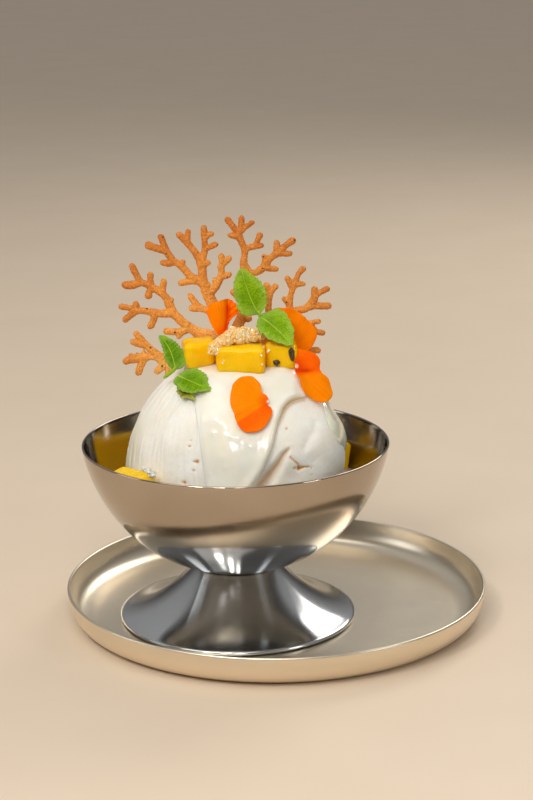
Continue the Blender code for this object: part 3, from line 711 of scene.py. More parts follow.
def towards(azimuth, elevation):
    flat = np.cos(elevation)
    height = np.sin(elevation) + 0 * azimuth
    return np.stack((flat * np.cos(azimuth), flat * np.sin(azimuth), height), -1)


def near_line(points, stops):
    """How far points lie from a polyline of over and side degrees, and how far along it, 0 to 1."""
    line = mound_points(over_the_top(*np.array(stops, float).T))
    best = np.full(points.shape[:-1], 1e9)
    share = np.zeros(points.shape[:-1])
    for i, (a, b) in enumerate(zip(line, line[1:])):
        along = b - a
        t = np.clip(((points - a) @ along) / (along @ along), 0, 1)
        away = np.linalg.norm(points - a - t[..., None] * along, axis=-1)
        share = np.where(away < best, (i + t) / (len(line) - 1), share)
        best = np.minimum(best, away)
    return best, share


# Degrees over the top and to the side, radius and depth in mm
PITS = (
    (33.9, -24.1, 0.55, 0.5),
    (25.0, -20.8, 0.65, 0.6),
    (25.4, -22.2, 0.45, 0.4),
    (20.3, -22.8, 0.5, 0.4),
    (13.4, -28.2, 0.65, 0.6),
    (37.0, -23.0, 0.4, 0.3),
    (23.0, -31.0, 0.3, 0.2),
    (42.0, 25.0, 0.6, 0.4),
    (21.0, 30.9, 0.5, 0.45),
    (30.0, -29.0, 0.3, 0.2),
    (44.0, -33.0, 0.3, 0.2),
    (17.0, 40.0, 0.4, 0.3),
)
# Broad dents, in the same units
DENTS = ((17, 32, 5.0, 1.3), (40.6, 36.5, 3.2, 0.7), (27, 41, 3.0, 0.5))
# Lines over the scoops, in degrees over the top and to the side
CRACK = (
    ((27.2, 27.6), (26.0, 28.8), (24.6, 30.6), (23.0, 32.6), (20.8, 33.6), (22.0, 36.4), (21.4, 39.4))
)
VALLEY = ((31.5, 26.6), (28.2, 24.8), (22.4, 22.3), (16.8, 18.5), (12.0, 15.0), (6.0, 11.0))
ARCH = ((38, 20.2), (45, 21.9), (52.8, 24.2), (55.8, 25.9), (58.1, 27.9), (60.6, 30.9), (62.2, 33.0))
FOLD = ((49.0, 39.4), (44.0, 39.6), (38.5, 37.0), (32.8, 34.9))
LEDGE = ((75, -20), (59.2, -26.8), (52.3, -36.0), (42.3, -40.2), (25.5, -42.7), (5, -43.5))


# Heights of the fill's edge down the bowl's wall, and the gap left to it
WALL_HEIGHTS = (FILL_HEIGHT, 46.0, 42.0, 38.0, 34.0, 31.0, 28.5, 26.5, 25.0, 24.0, 23.3)
WALL_GAP = 0.35


def ridges(azimuth, elevation):
    """Ridges that run down the scoops, leaning a little, with finer ones on them."""
    lean = np.degrees(azimuth) + 0 * elevation + 7 * np.sin(elevation * 1.6)
    broad = np.stack((lean / 2.6, elevation * 1.5 + 0 * lean, 0 * lean + 4.0), -1)
    fine = np.stack((lean / 1.1, elevation * 2.5 + 0 * lean, 0 * lean + 9.0), -1)
    return 0.65 * (1 - np.abs(waves(broad, 1.0)) * 2.2) + 0.35 * waves(fine, 1.0)


def under_ledge(directions):
    """1 just under the lip that hangs over the ridges on the left of the front, and 0 elsewhere."""
    over = np.degrees(np.arctan2(directions[..., 2], -directions[..., 1]))
    side = np.degrees(np.arcsin(np.clip(directions[..., 0], -1, 1)))
    below = between(over, sorted(LEDGE)) - side
    front = ease(over, 0, 12) * (1 - ease(over, 66, 80))
    return front * ease(below, -0.4, 1.0) * (1 - ease(below, 4, 16))


def marked(mound, sink, ripple):
    """The depth to which the surface sinks with pits, crack, valley and dents, and its tan: stain in
    the pits and crack, painted shade in the valley and along the arch.
    """
    sink, stain_and_shade = sink.copy(), np.zeros_like(sink)
    for up, across, radius, depth in PITS:
        centre = mound_points(over_the_top(up, across))
        away = np.linalg.norm((mound - centre) * (1, 1, 1.25), axis=-1) * (1 + 0.5 * ripple)
        shape = hill(away, radius)
        sink += depth * shape
        stain_and_shade = np.maximum(stain_and_shade, shape * min(2 * depth, 1))

    away, share = near_line(mound, CRACK)
    hole = hill(share - 0.66, 0.12)
    width = 0.25 + 0.45 * hole + 0.3 * np.abs(ripple)
    shape = hill(away, width) * np.maximum(hole, ease(waves(mound, 1.2, 11.0), -0.3, 0.05))
    sink += (0.4 + 1.0 * hole) * shape
    stain_and_shade = np.maximum(stain_and_shade, shape)

    away, share = near_line(mound, VALLEY)
    width = 0.7 + 2.2 * share
    sink += (1.3 + 3.2 * share) * hill(away, width) * ease(share, -0.05, 0.12)
    # Painted shade: tan in the valley's crevice and along the arch under the cream's edge
    stain_and_shade = np.maximum(stain_and_shade, 0.5 * hill(away, 0.85 * width))
    away, share = near_line(mound, ARCH)
    stain_and_shade = np.maximum(stain_and_shade, 0.5 * hill(away, 0.9) * ease(share, -0.1, 0.4))
    away, _ = near_line(mound, FOLD)
    sink += 0.45 * hill(away, 1.6)
    for up, across, reach, depth in DENTS:
        centre = mound_points(over_the_top(up, across))
        sink += depth * hill(np.linalg.norm(mound - centre, axis=-1), reach)
    return sink, stain_and_shade


def fill_rings(edge, azimuth):
    """Rings of points from the mound's edge out to the bowl's wall and down it."""
    inside = bowl_section()[1][: WALL_STEPS - 1][::-1]
    walls = [np.interp(height, inside[:, 1], inside[:, 0]) - WALL_GAP for height in WALL_HEIGHTS]
    heights = (FILL_HEIGHT + 0.4, FILL_HEIGHT + 0.1, *WALL_HEIGHTS)
    rings = []
    for height, reach in zip(heights, (edge + 1.5, edge + 4.0, *walls)):
        ring = (reach * np.cos(azimuth), reach * np.sin(azimuth), 0 * azimuth + height)
        rings.append(np.stack(ring, -1))
    return rings


def add_sherbet():
    columns, rows = SHERBET_COLUMNS, SHERBET_ROWS
    azimuth = np.arange(columns) * 2 * math.pi / columns
    elevation = np.linspace(math.radians(89.4), math.radians(-4), rows)[:, None]
    directions = towards(azimuth[None, :], elevation)
    mound = mound_points(directions)
    ripple = waves(mound, 1.6, 5.0)
    left = ease(np.cos(azimuth - math.radians(196)), 0.1, 0.75)[None, :]
    left = left * ease(elevation, math.radians(85), math.radians(62))
    sink = 0.55 * left * -ridges(azimuth[None, :], elevation)
    sink = sink + 0.3 * waves(mound, 7.0) + 0.09 * ripple * (1 - 0.5 * left)
    sink += 0.4 * under_ledge(directions)
    sink, stain_and_shade = marked(mound, sink, ripple)
    mound = mound - directions * sink[..., None]
    wet = ease(-elevation, math.radians(-14), math.radians(4)) * (0.4 + 0.6 * left)
    rim = ease(np.cos(azimuth - math.radians(188)), 0.93, 1.0)[None, :]
    wet = np.maximum(wet, 0.9 * rim * ease(-elevation, math.radians(-50), math.radians(-15)))

    rings = fill_rings(np.hypot(mound[-1, :, 0], mound[-1, :, 1]), azimuth)
    poles = [(0, 0, MOUND_TOP), (0, 0, WALL_HEIGHTS[-1])]
    points = np.concatenate((mound.reshape(-1, 3), *rings, poles))
    count = len(points) - len(poles)
    faces = grid_faces(rows + len(rings), columns, 0, around=True)
    faces += [[count, (j + 1) % columns, j] for j in range(columns)]
    last = count - columns
    faces += [[count + 1, last + j, last + (j + 1) % columns] for j in range(columns)]
    look = np.zeros((len(points), 2))
    look[: rows * columns, 0] = stain_and_shade.ravel()
    look[: rows * columns, 1] = (wet + 0 * stain_and_shade).ravel()
    look[rows * columns : count, 1] = 0.8
    faces = [face[::-1] for face in faces]
    new_piece("sherbet_scoops", points, faces, sherbet_material(), ["sherbet"], look)


# Cream

# Borders: degrees over the top and to the side
CREAM_LEFT = (
    ((-4, -13), (12, -16.6), (25, -18), (33, -18.6), (50, -19.6), (66, -21.5))
    + ((74, -25), (84, -25), (112, -24))
)
CREAM_RIGHT = (
    ((-4, 2.5), (6, 6.0), (11.7, 8.8), (14.3, 10.8), (20.3, 14.7), (28, 17.5), (34.6, 19.2), (45, 21.0))
    + ((52.8, 23.2), (55.8, 24.8), (58.1, 26.8), (60.6, 29.8), (62.2, 32.0), (64.2, 34.5))
    + ((68, 35), (76, 34), (84, 32), (112, 24))
)
# Degrees over the top and to the side, radius and height in mm
CREAM_BUMPS = (
    (38.3, -10.8, 1.2, 0.22),
    (36.6, -2.4, 1.6, 0.3),
    (35.2, 1.2, 1.1, 0.25),
    (33.2, 4.6, 1.8, 0.32),
    (31.4, 8.0, 1.3, 0.28),
    (29.6, 4.0, 1.2, 0.2),
    (20.9, -5.2, 1.0, 0.18),
    (18.1, -13.8, 0.9, 0.16),
    (44.5, -9.3, 2.6, 0.3),
    (26.0, -6.0, 1.4, 0.16),
    (75.0, -18.0, 3.4, 1.3),
    (73.0, -22.0, 2.4, 0.6),
    (74.0, 20.0, 3.2, 0.8),
)


def add_cream(material):
    rows, columns = CREAM_ROWS, CREAM_COLUMNS
    over = np.linspace(-4, 112, rows)[:, None] + np.zeros((1, columns))
    u = np.linspace(-1, 1, columns)[None, :] + np.zeros((rows, 1))
    u = u * (0.75 + 0.25 * np.abs(u))
    left, right = between(over, CREAM_LEFT), between(over, CREAM_RIGHT)
    side = left + (right - left) * (u + 1) / 2
    directions = over_the_top(over, side)
    base = mound_points(directions)
    step = np.linalg.norm(np.diff(base, axis=1), axis=2)
    run = np.concatenate((np.zeros((rows, 1)), np.cumsum(step, axis=1)), axis=1)
    from_left, from_right = run, run[:, -1:] - run
    rise = np.linalg.norm(np.diff(base, axis=0), axis=2).mean(axis=1)
    climb = np.concatenate(([0], np.cumsum(rise)))[:, None]
    from_end = np.minimum(climb, climb[-1] - climb)

    wobble = waves(base, 9.0, 2.0)
    ripple = waves(base * (1, 1, 0.6), 2.6, 8.0)
    body = 0.95 + 1.15 * ease(from_left, 0, 12) + 0.22 * wobble + 0.07 * ripple
    body += 0.5 * hill(from_right - 2.2, 1.9) * (1 - ease(over, 60, 80))

    def round_edge(away, width):
        share = np.clip(away / width, 0, 1)
        return np.sqrt(np.maximum(1 - (1 - share) ** 2, 0))

    edge = round_edge(from_right, 2.1) * round_edge(from_left, 2.6) * round_edge(from_end, 2.0)
    lift = (body + 0.35) * edge * (1 - 0.55 * ease(side, 25, 32)) - 0.3
    for up, across, radius, height in CREAM_BUMPS:
        centre = mound_points(over_the_top(up, across))
        away = np.linalg.norm(base - centre, axis=-1)
        lift += height * hill(away, radius)
    front = base + directions * lift[..., None]
    back = mound_points(directions, -0.9)
    # Painted shadow, tan, along the cream's right edge where it stands over the sherbet
    tan_mark = 0.75 * hill(from_right, 0.8) * ease(over, 26, 46) * (1 - ease(over, 62, 68))
    look = np.concatenate((tan_mark.ravel(), tan_mark.ravel()))[:, None]
    points, faces = two_sided(front, back)
    new_piece("cream_pour", points, faces, material, ["cream_sauce"], look)


# Degrees of azimuth and elevation round the melt
MELT = (
    ((-27, 23), (-30, 30), (-26, 37), (-18, 43), (-8, 48), (2, 48), (10, 43), (17, 36), (20, 28))
    + ((16, 19), (9, 22), (2, 17), (-5, 20), (-12, 15), (-20, 19))
)


def add_melt(material):
    """Runny melt on the right flank of the scoops, thin at its edges."""
    azimuth, elevation, out = filled(MELT, MELT_GRID, 4.0)
    directions = towards(np.radians(azimuth), np.radians(elevation))
    base = mound_points(directions)
    swell = waves(base, 6.0, 3.0)
    lift = (1.5 + 0.7 * swell) * np.sqrt(np.maximum(1 - out**3, 0)) - 0.25
    front = base + directions * lift[..., None]
    back = mound_points(directions, -0.35)
    points, faces = two_sided(front, back)
    new_piece("melt_right", points, [face[::-1] for face in faces], material)


# Mango, seeds and granita


def refined(node, name, voxel, rounds):
    """A finer, rounded copy of a node's mesh, not yet dressed."""
    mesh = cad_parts[node].data.copy()
    mesh.name = name
    thing = add_object(name, mesh)
    modify(thing, "WELD", merge_threshold=0.01 * MM)
    modify(thing, "REMESH", mode="VOXEL", voxel_size=voxel * MM)
    modify(thing, "SMOOTH", factor=0.5, iterations=rounds)
    bake(thing)
    thing.data.name = name
    return thing


def add_mango():
    bright = mango_material("mango_bright_look", (1.0, 0.60, 0.0), (1.0, 0.51, 0.0))
    lemon = mango_material("mango_lemon_look", (1.0, 0.61, 0.0), (1.0, 0.53, 0.0))
    pale, deep = (0.97, 0.60, 0.0), (0.88, 0.49, 0.0)
    sliced = mango_material("mango_sliced_look", pale, deep, 0.9, (0.2, 0.6, 1.6))
    looks = {"mango_top_middle": lemon, "mango_top_right": lemon, "mango_side_left": sliced}
    for seed, node in enumerate(sorted(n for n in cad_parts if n.startswith("mango_"))):
        on_top = "top" in node
        rounds = 70 if node == "mango_top_left" else 26 if on_top else 7
        thing = refined(node, node.replace("mango_", "mango_cube_"), 0.4, rounds)
        points = coordinates(thing.data) / MM
        push = 0.03 * waves(points * (1.5, 1.5, 0.6), 1.2, seed + 5)
        swell, wave = (0.35, 0.5) if on_top else (0.12, 0.15)
        push += swell + wave * waves(points, 5.0, seed)
        points = points + normals(thing.data) * push[:, None]
        low = points[:, 2].min()
        if on_top:
            points[:, 2] -= 0.9 * (1 - ease(points[:, 2], low, low + 4))
        if node == "mango_side_left":
            points[:, 0] += 0.18 * (points[:, 0] - points[:, 0].mean())
        if node == "mango_side_right":
            points[:, 2] -= 2.5
        move_vertices(thing.data, points * MM)
        share = 2 * (points - points.min(0)) / np.ptp(points, axis=0) - 1
        # Painted shade share, 1 at the sides and bottom of the cubes on top
        edge = ease(np.maximum(np.abs(share[:, 0]), -share[:, 2]), 0.72, 1.0) * on_top
        dress(thing, looks.get(node, bright), [node], edge)


def add_seeds():
    """Two dark seeds pressed into the right-hand cube."""
    material = seed_material()
    for name, centre, size, turn in (
        ("seed_long", (20.9, -12.0, 104.3), (1.05, 0.8, 2.5), -8),
        ("seed_short", (15.3, -12.0, 101.4), (1.3, 0.8, 1.1), 0),
    ):
        shape = bmesh.new()
        bmesh.ops.create_uvsphere(shape, u_segments=28, v_segments=20, radius=1)
        spin = Matrix.Rotation(math.radians(turn), 3, "Y")
        points, faces = [], [[v.index for v in face.verts] for face in shape.faces]
        for vertex in shape.verts:
            co = vertex.co * (1 + 0.25 * noise.noise(vertex.co * 1.4 + Vector(centre)))
            co.x *= 1 + 0.3 * co.z
            points.append(spin @ Vector(co[i] * size[i] for i in range(3)) + Vector(centre))
        shape.free()
        new_piece(name, points, faces, material)


def crystal(draw, centre, radius, points, faces, detail=1):
    """Adds one rough crystal to lists of points and faces."""
    shape = bmesh.new()
    bmesh.ops.create_icosphere(shape, subdivisions=detail, radius=1)
    stretch = [draw.uniform(0.7, 1.25) for _ in range(3)]
    seed = Vector(draw.uniform(0, 50) for _ in range(3))
    first = len(points)
    for vertex in shape.verts:
        rough = 1 + 0.5 * noise.noise(vertex.co * 1.6 + seed)
        points.append([centre[i] + vertex.co[i] * stretch[i] * radius * rough for i in range(3)])
    faces.extend([first + v.index for v in face.verts] for face in shape.faces)
    count = len(shape.verts)
    shape.free()
    return count


def scattered(mesh, count, draw, keep):
    """Random points with their normals on a mesh in metres, returned in mm of the part."""
    mesh.calc_loop_triangles()
    corners = coordinates(mesh)
    triangles = np.array([t.vertices for t in mesh.loop_triangles])
    a, b, c = (corners[triangles[:, i]] for i in range(3))
    across = np.cross(b - a, c - a)
    area = np.linalg.norm(across, axis=1)
    summed = np.cumsum(area)
    found = []
    while len(found) < count:
        i = int(np.searchsorted(summed, draw.random() * summed[-1]))
        r, s = draw.random(), draw.random()
        if r + s > 1:
            r, s = 1 - r, 1 - s
        point = (a[i] + (b[i] - a[i]) * r + (c[i] - a[i]) * s) / MM
        facing = across[i] / max(area[i], 1e-15)
        if keep(point, facing):
            found.append((point, facing))
    return found


# Where a few white grains cling to the cubes, as painted glints
GLINT_GRAINS = (
    (-4.2, -16.5, 103.2),
    (9.6, -16.2, 105.4),
    (10.3, -16.0, 101.8),
    (11.9, -12.6, 105.7),
    (10.8, -13.0, 107.7),
)


def add_granita():
    material = granita_material()
    core = refined("granita", "granita_core", 0.3, 3)
    points = coordinates(core.data) / MM
    push = 0.3 * waves(points, 2.0) + 0.35 * waves(points, 0.9)
    low = points[:, 2].min()
    sag = (1 - ease(points[:, 2], low + 2, low + 8))[:, None] * (0, -0.9, -1.4)
    points = points + normals(core.data) * push[:, None] + sag
    lobe = ease(points[:, 0] - CUP[0], 0, -8)
    points[:, 2] += 0.7 * lobe * (107.6 + CUP[2] - points[:, 2])
    points[:, 0] += 1.4 * lobe
    move_vertices(core.data, points * MM)
    dress(core, material, ["granita"], 0.3 + 0.3 * waves(points, 0.7, 3.0))
    draw = random.Random(5)
    points, faces, look = [], [], []
    for point, facing in scattered(core.data, 1500, draw, lambda p, n: n[2] > -0.35 or n[1] < 0):
        radius = draw.choice((0.3, 0.4, 0.5, 0.65, 0.85))
        centre = point - CUP + facing * radius * 0.2
        count = crystal(draw, centre, radius, points, faces)
        look.extend([draw.random() ** 1.5] * count)
    for centre in GLINT_GRAINS:
        for _ in range(3):
            near = [value + draw.gauss(0, 0.45) for value in centre]
            look.extend([1.0] * crystal(draw, near, draw.uniform(0.2, 0.45), points, faces))
    crystals = new_piece("granita_crystals", points, faces, material, look=look)
    crystals.data.set_sharp_from_angle(angle=math.radians(28))


# Coral tuile: branches through pixels of the photo, with their half widths there in pixels

FAN_DEPTH = 6.0
FAN = {
    "root": ((227.5, 337, 6.5), (227.6, 349, 6)),
    "left": (
        (222, 340, 6.5), (212, 336, 6.5), (200, 334.5, 6), (190, 327.5, 4.3), (180, 320, 4.2),
        (172.5, 312, 4.3), (169, 304, 4.4), (166.5, 297.5, 3.6), (160, 291.5, 3.4), (152, 287, 3.6),
        (146, 284, 3), (139, 282.5, 3.1),
    ),
    "left_a": ((140, 281.5, 3.2), (136, 274.5, 3), (132.5, 266.8, 3.3)),
    "left_b": ((140, 283, 3.2), (131, 285, 3.9), (126, 285, 3.9)),
    "left_c": ((151, 285, 3), (150.5, 278, 3), (150.3, 275.2, 3.1)),
    "left_d": ((162, 292, 3.2), (163.4, 286, 2.9), (164, 281.2, 3)),
    "left_e": ((151, 289, 3), (149, 293, 2.9), (148.4, 295.2, 3.4)),
    "left_f": ((168, 303, 4), (170.8, 300.2, 2.8)),
    "low": (
        (172, 313, 4.4), (162, 313.6, 3.7), (152, 312.3, 3.4), (143, 311, 2.9), (136.5, 310.3, 3.6),
        (132.5, 313.5, 3.2), (125.3, 319.3, 2.9),
    ),
    "low_a": ((137, 309, 3.2), (136, 304, 3)),
    "low_b": ((136, 310, 3.6), (129, 308, 2.8), (121.3, 306.8, 2.6)),
    "low_c": ((154.5, 314, 3.6), (153.5, 320, 3.1), (150.5, 326, 2.9)),
    "spur": ((190, 328, 4.3), (182, 331.5, 3.6), (175, 331.8, 3), (166.8, 331.3, 3.1)),
    "spur_a": ((181, 332.5, 3.4), (178.8, 336.3, 2.8)),
    "short": ((214, 311, 4), (205, 310, 3), (198, 307, 3.6), (194, 301, 3), (190.2, 296.3, 3.1)),
    "short_a": ((198, 308.2, 3.4), (192.2, 308.4, 3.1)),
    "tall": (
        (223, 339, 6), (221, 328, 4.6), (217, 315, 5.2), (212.5, 304, 5.5), (209.5, 297, 5.6),
        (206, 290, 5.2), (203.5, 283, 4.2), (202.5, 275, 4), (202, 268, 4.3), (201.5, 262, 5.2),
        (201, 258, 4.6),
    ),
    "mid": (
        (203, 257, 3.6), (205, 249, 2.8), (204.8, 241, 2.6), (204, 233, 3), (203.9, 228.3, 3.1),
    ),
    "mid_a": ((204.5, 239, 2.6), (208.5, 235, 2.4), (211.3, 233.8, 2.5)),
    "mid_b": ((205, 248.5, 2.8), (210.5, 246.6, 2.4), (215.3, 244.5, 2.6)),
    "mid_c": (
        (200, 260, 4.2), (196, 253, 3.2), (190, 246, 3.2), (186, 241, 3.6), (182, 237, 3),
        (179, 234.8, 2.9),
    ),
    "mid_d": ((188, 243.5, 2.8), (187.7, 237, 2.4), (188, 231.6, 2.4)),
    "mid_e": ((204, 263, 4.5), (208, 262.8, 2.7)),
    "far_left": (
        (206, 286, 5), (200, 281.5, 3.8), (191, 277, 3.9), (186, 271, 3.6), (181.5, 265.5, 3.9),
        (175, 262, 3.3), (169.5, 256, 3.2), (165.5, 250, 3.6), (163.3, 243, 2.7), (161, 236.8, 3.1),
    ),
    "far_left_a": ((165, 250.5, 3.2), (157, 248.6, 3.4), (148.8, 245.4, 3.9)),
    "far_left_b": ((173, 262.5, 3.2), (167, 263.3, 3.2), (162.8, 262.8, 2.7)),
    "far_left_c": ((181, 265, 3.6), (183, 262, 2.4)),
    "far_left_d": ((198, 281, 3.4), (190, 280.8, 3.3), (181, 283, 2.9)),
    "inner": (
        (209, 293, 5), (215.5, 287, 3.8), (219, 280.5, 3.8), (222, 274, 3.1), (222, 268, 2.7),
        (222.5, 262.5, 2.9), (221.5, 256.7, 3),
    ),
    "inner_a": ((218, 282, 3.4), (214.7, 280.3, 2.8)),
    "inner_b": ((222, 269.5, 2.8), (219.5, 267.6, 2.2)),
    "inner_c": ((222.5, 276, 3.2), (228, 275.5, 2.6), (229.5, 274.5, 2.5)),
    "inner_d": ((223.5, 264, 2.6), (227, 260.8, 2.4), (229, 258.3, 2.4)),
    "high": (
        (230, 341, 6), (234, 332, 5), (240, 322, 5.2), (243, 312, 4.8), (243, 300, 4.5),
        (241.5, 288, 4.2), (242, 276, 3.8), (244.5, 268, 3.5), (243.6, 262, 3.7), (244.8, 256, 2.8),
        (245, 250, 3.8), (242.6, 244, 3.1), (240, 238, 3.3), (238.3, 233.5, 3.6),
    ),
    "high_a": ((243, 318.5, 4), (249, 318.8, 3)),
    "high_b": ((241, 301, 3.5), (236, 295, 2.8), (233.3, 292, 3)),
    "high_c": ((237.5, 232, 3.3), (233, 227, 2.8), (228, 219.8, 3.2)),
    "high_d": ((237, 236.3, 3.4), (232, 235.2, 2.5), (229.6, 235.2, 2.3)),
    "high_e": ((239.5, 231, 3.2), (241.3, 225.5, 2.7), (241.7, 218.3, 2.6)),
    "high_f": ((240.5, 231, 3.2), (245, 227, 2.6), (249, 224.8, 2.3), (252, 222.7, 2.5)),
    "high_g": ((245, 249, 3.6), (250, 247, 2.7), (256, 246, 3), (261.3, 245.5, 2.4)),
    "high_h": ((255.5, 245.5, 2.6), (257.5, 240, 2.2), (260, 235.2, 2.9)),
    "slant": (
        (245, 266, 3.4), (248.5, 270.5, 2.6), (254, 273.6, 2.6), (260, 270.5, 3.2), (265.5, 265, 4),
        (267, 260, 4.2), (271.5, 257.3, 2.9), (277.5, 252.8, 3.8), (282, 248.8, 3.3),
        (287, 244.3, 2.7), (292, 241, 3.7),
    ),
    "slant_a": ((266, 260, 3.8), (264, 256.4, 2.3)),
    "slant_b": ((277, 251.5, 3.3), (276.6, 243, 2.9)),
    "slant_c": ((280, 253, 3.4), (286, 253.9, 2.5), (289.8, 253.8, 2.6)),
    "slant_d": ((265, 266.5, 3.8), (271, 268.7, 2.6), (275.7, 269, 2.6)),
    "right": ((232, 343, 6), (250, 343, 5.5), (266, 337, 5), (280, 326, 4.5), (290, 314, 4.2)),
    "right_a": (
        (266, 337, 4.5), (268.3, 322, 3.6), (268.4, 312, 3), (268.3, 304, 2.9), (268.9, 297.1, 3),
        (270.8, 291, 3.6),
    ),
    "right_b": ((270, 291, 3.2), (266.8, 285.6, 2.9)),
    "right_c": ((271.5, 291, 3), (275.5, 286.8, 2.9)),
    "up": (
        (290, 314, 4), (289.3, 306, 3.4), (289.5, 300, 3.2), (291, 294, 2.5), (293, 287.5, 3.3),
        (294.5, 283, 3.6), (297, 278, 2.5), (299, 273, 2.3), (303, 268.8, 2.9),
    ),
    "up_a": ((288.5, 302, 3.6), (284.2, 299, 2.4)),
    "up_b": ((292, 287, 3), (289, 281.5, 2.8), (287.7, 279, 2.9)),
    "up_c": ((296, 284, 3.4), (300, 283.7, 2.6), (303.3, 284, 2.2)),
    "out": (
        (290, 314, 4.2), (297, 310.5, 3.6), (305, 308.8, 3.6), (309.5, 305.5, 3.6),
        (313.5, 301, 3.8), (315.3, 296, 3.4), (314.3, 289.6, 3.3),
    ),
    "out_a": ((308, 307, 3.4), (316, 305.6, 3.3), (328, 305.9, 3.1)),
    "out_b": ((316, 295, 3), (320, 292.6, 2.5), (327.3, 289.2, 2.7)),
    "side": (
        (266, 337, 4.5), (285, 330, 4), (300, 325, 3.4), (309, 323, 2.2), (313, 322, 2),
        (318.3, 321.6, 2.5),
    ),
    "side_a": ((311, 323.5, 2.4), (313.8, 328, 1.9), (317, 331.6, 2.4), (323, 333, 2.4)),
    "down": ((266, 337, 4.5), (285, 346, 3.5), (300, 350, 3), (318, 350.3, 2.8)),
}
SHARD = {
    "stem": (
        (172, 368, 4.5), (166, 361, 4.6), (158, 355.5, 4.2), (151, 350, 3.4), (145, 343.5, 3.3),
        (141, 338.5, 3.2), (136.5, 334.3, 3.3),
    ),
    "stem_a": ((145, 345.5, 3), (139, 343.8, 3.3), (133.5, 342, 3.2)),
    "low": (
        (163, 361, 4.6), (155, 356.5, 2.8), (147, 357, 3.6), (140, 358.5, 4.4), (132, 358.8, 4.2),
        (126.5, 361.2, 3.5),
    ),
    "low_a": ((133, 358, 3), (131, 355.2, 2.2)),
    "low_b": ((143, 361, 3.6), (140.8, 366, 3.4), (138.8, 372.3, 3.3)),
    "low_c": ((166, 362, 4.4), (163, 366, 3.8), (157.3, 371, 3.1)),
    "low_d": ((169, 366, 3.5), (168, 372, 2.8), (167.5, 376, 1.6)),
    "thorn_a": ((146, 357, 2.6), (144.2, 352, 1.3), (143.4, 349.3, 0.6)),
    "thorn_b": ((142, 357, 2.4), (141.2, 353.6, 0.8)),
    "thorn_c": ((139, 357, 2.4), (137, 353.6, 1.1), (136.6, 352.4, 0.6)),
}


def fan_depth(x, z):
    """How far back the tuile's gently bowed plane lies."""
    return FAN_DEPTH + 2.2 * ((x + 3) / 40) ** 2 + 0.03 * (z - 104)


def on_fan(across, down):
    """Where a pixel meets the tuile's plane, as x, z."""
    ray = sight(across, down)
    depth = FAN_DEPTH
    for _ in range(4):
        x, _, z = EYE + ray * (depth - EYE[1]) / ray[1]
        depth = fan_depth(x, z)
    return x, z


def fan_knot(across, down, half):
    """x, z and half width of a branch's knot, to a tenth of a millimetre."""
    x, z = on_fan(across, down)
    return np.round((x, z, half * (on_fan(across + 1, down)[0] - x)), 1)


def cut_corners(knots):
    """A smoother line through the quarter points of a line's legs, with the same ends."""
    knots = np.array(knots)
    near, far = 0.75 * knots[:-1] + 0.25 * knots[1:], 0.25 * knots[:-1] + 0.75 * knots[1:]
    inside = np.stack((near, far), 1).reshape(-1, knots.shape[1])
    return np.concatenate((knots[:1], inside, knots[-1:]))


def add_branch(knots, points, faces, sides=14):
    """Adds a rounded, slightly flat branch on the bowed fan to lists of points and faces."""
    line = cut_corners(cut_corners(cut_corners(knots)))
    along = np.gradient(line[:, :2], axis=0)
    along /= np.linalg.norm(along, axis=1, keepdims=True)
    rings = [(line[i, :2], along[i], line[i, 2], 1.0) for i in range(len(line))]
    for end, sign in ((0, -1), (-1, 1)):
        middle, heading, radius = line[end, :2], along[end], line[end, 2]
        for turn in np.radians((25, 50, 70, 84)):
            ring = (middle + sign * radius * math.sin(turn) * heading, heading, radius, math.cos(turn))
            rings.insert(0, ring) if sign < 0 else rings.append(ring)
    first = len(points)
    for (x, z), heading, radius, share in rings:
        depth = fan_depth(x, z)
        thick = (0.55 * radius + 0.5) * share
        for turn in np.arange(sides) * 2 * math.pi / sides:
            out = radius * share * math.cos(turn)
            points.append((x - heading[1] * out, depth + thick * math.sin(turn), z + heading[0] * out))
    faces += grid_faces(len(rings), sides, first, around=True)
    faces.append([first + j for j in range(sides)][::-1])
    faces.append([len(points) - sides + j for j in range(sides)])


def add_coral():
    material = wafer_material()
    for branches, node, name, root in (
        (FAN, "coral_tuile", "tuile_coral", (-2.5, 104.0, 55.0)),
        (SHARD, "coral_shard", "tuile_shard", (-24.0, 98.0, 26.0)),
    ):
        points, faces = [], []
        for knots in branches.values():
            add_branch([fan_knot(*knot) for knot in knots], points, faces)
        mesh = bpy.data.meshes.new(name)
        mesh.from_pydata(((np.array(points) + CUP) * MM).tolist(), [], faces)
        thing = add_object(name, mesh)
        modify(thing, "REMESH", mode="VOXEL", voxel_size=0.3 * MM)
        modify(thing, "SMOOTH", factor=0.5, iterations=5)
        bake(thing)
        thing.data.name = name
        points = coordinates(thing.data) / MM
        push = 0.16 + 0.16 * waves(points, 2.4) + 0.17 * waves(points, 0.8, 4.0)
        move_vertices(thing.data, (points + normals(thing.data) * push[:, None]) * MM)
        local = points - CUP
        reach = np.hypot(local[:, 0] - root[0], local[:, 2] - root[1]) / root[2]
        dress(thing, material, [node], reach)


# Petals and mint leaves. The outline of the petal on the cream is in degrees to the side and over
# the top, and the other outlines are pixels.


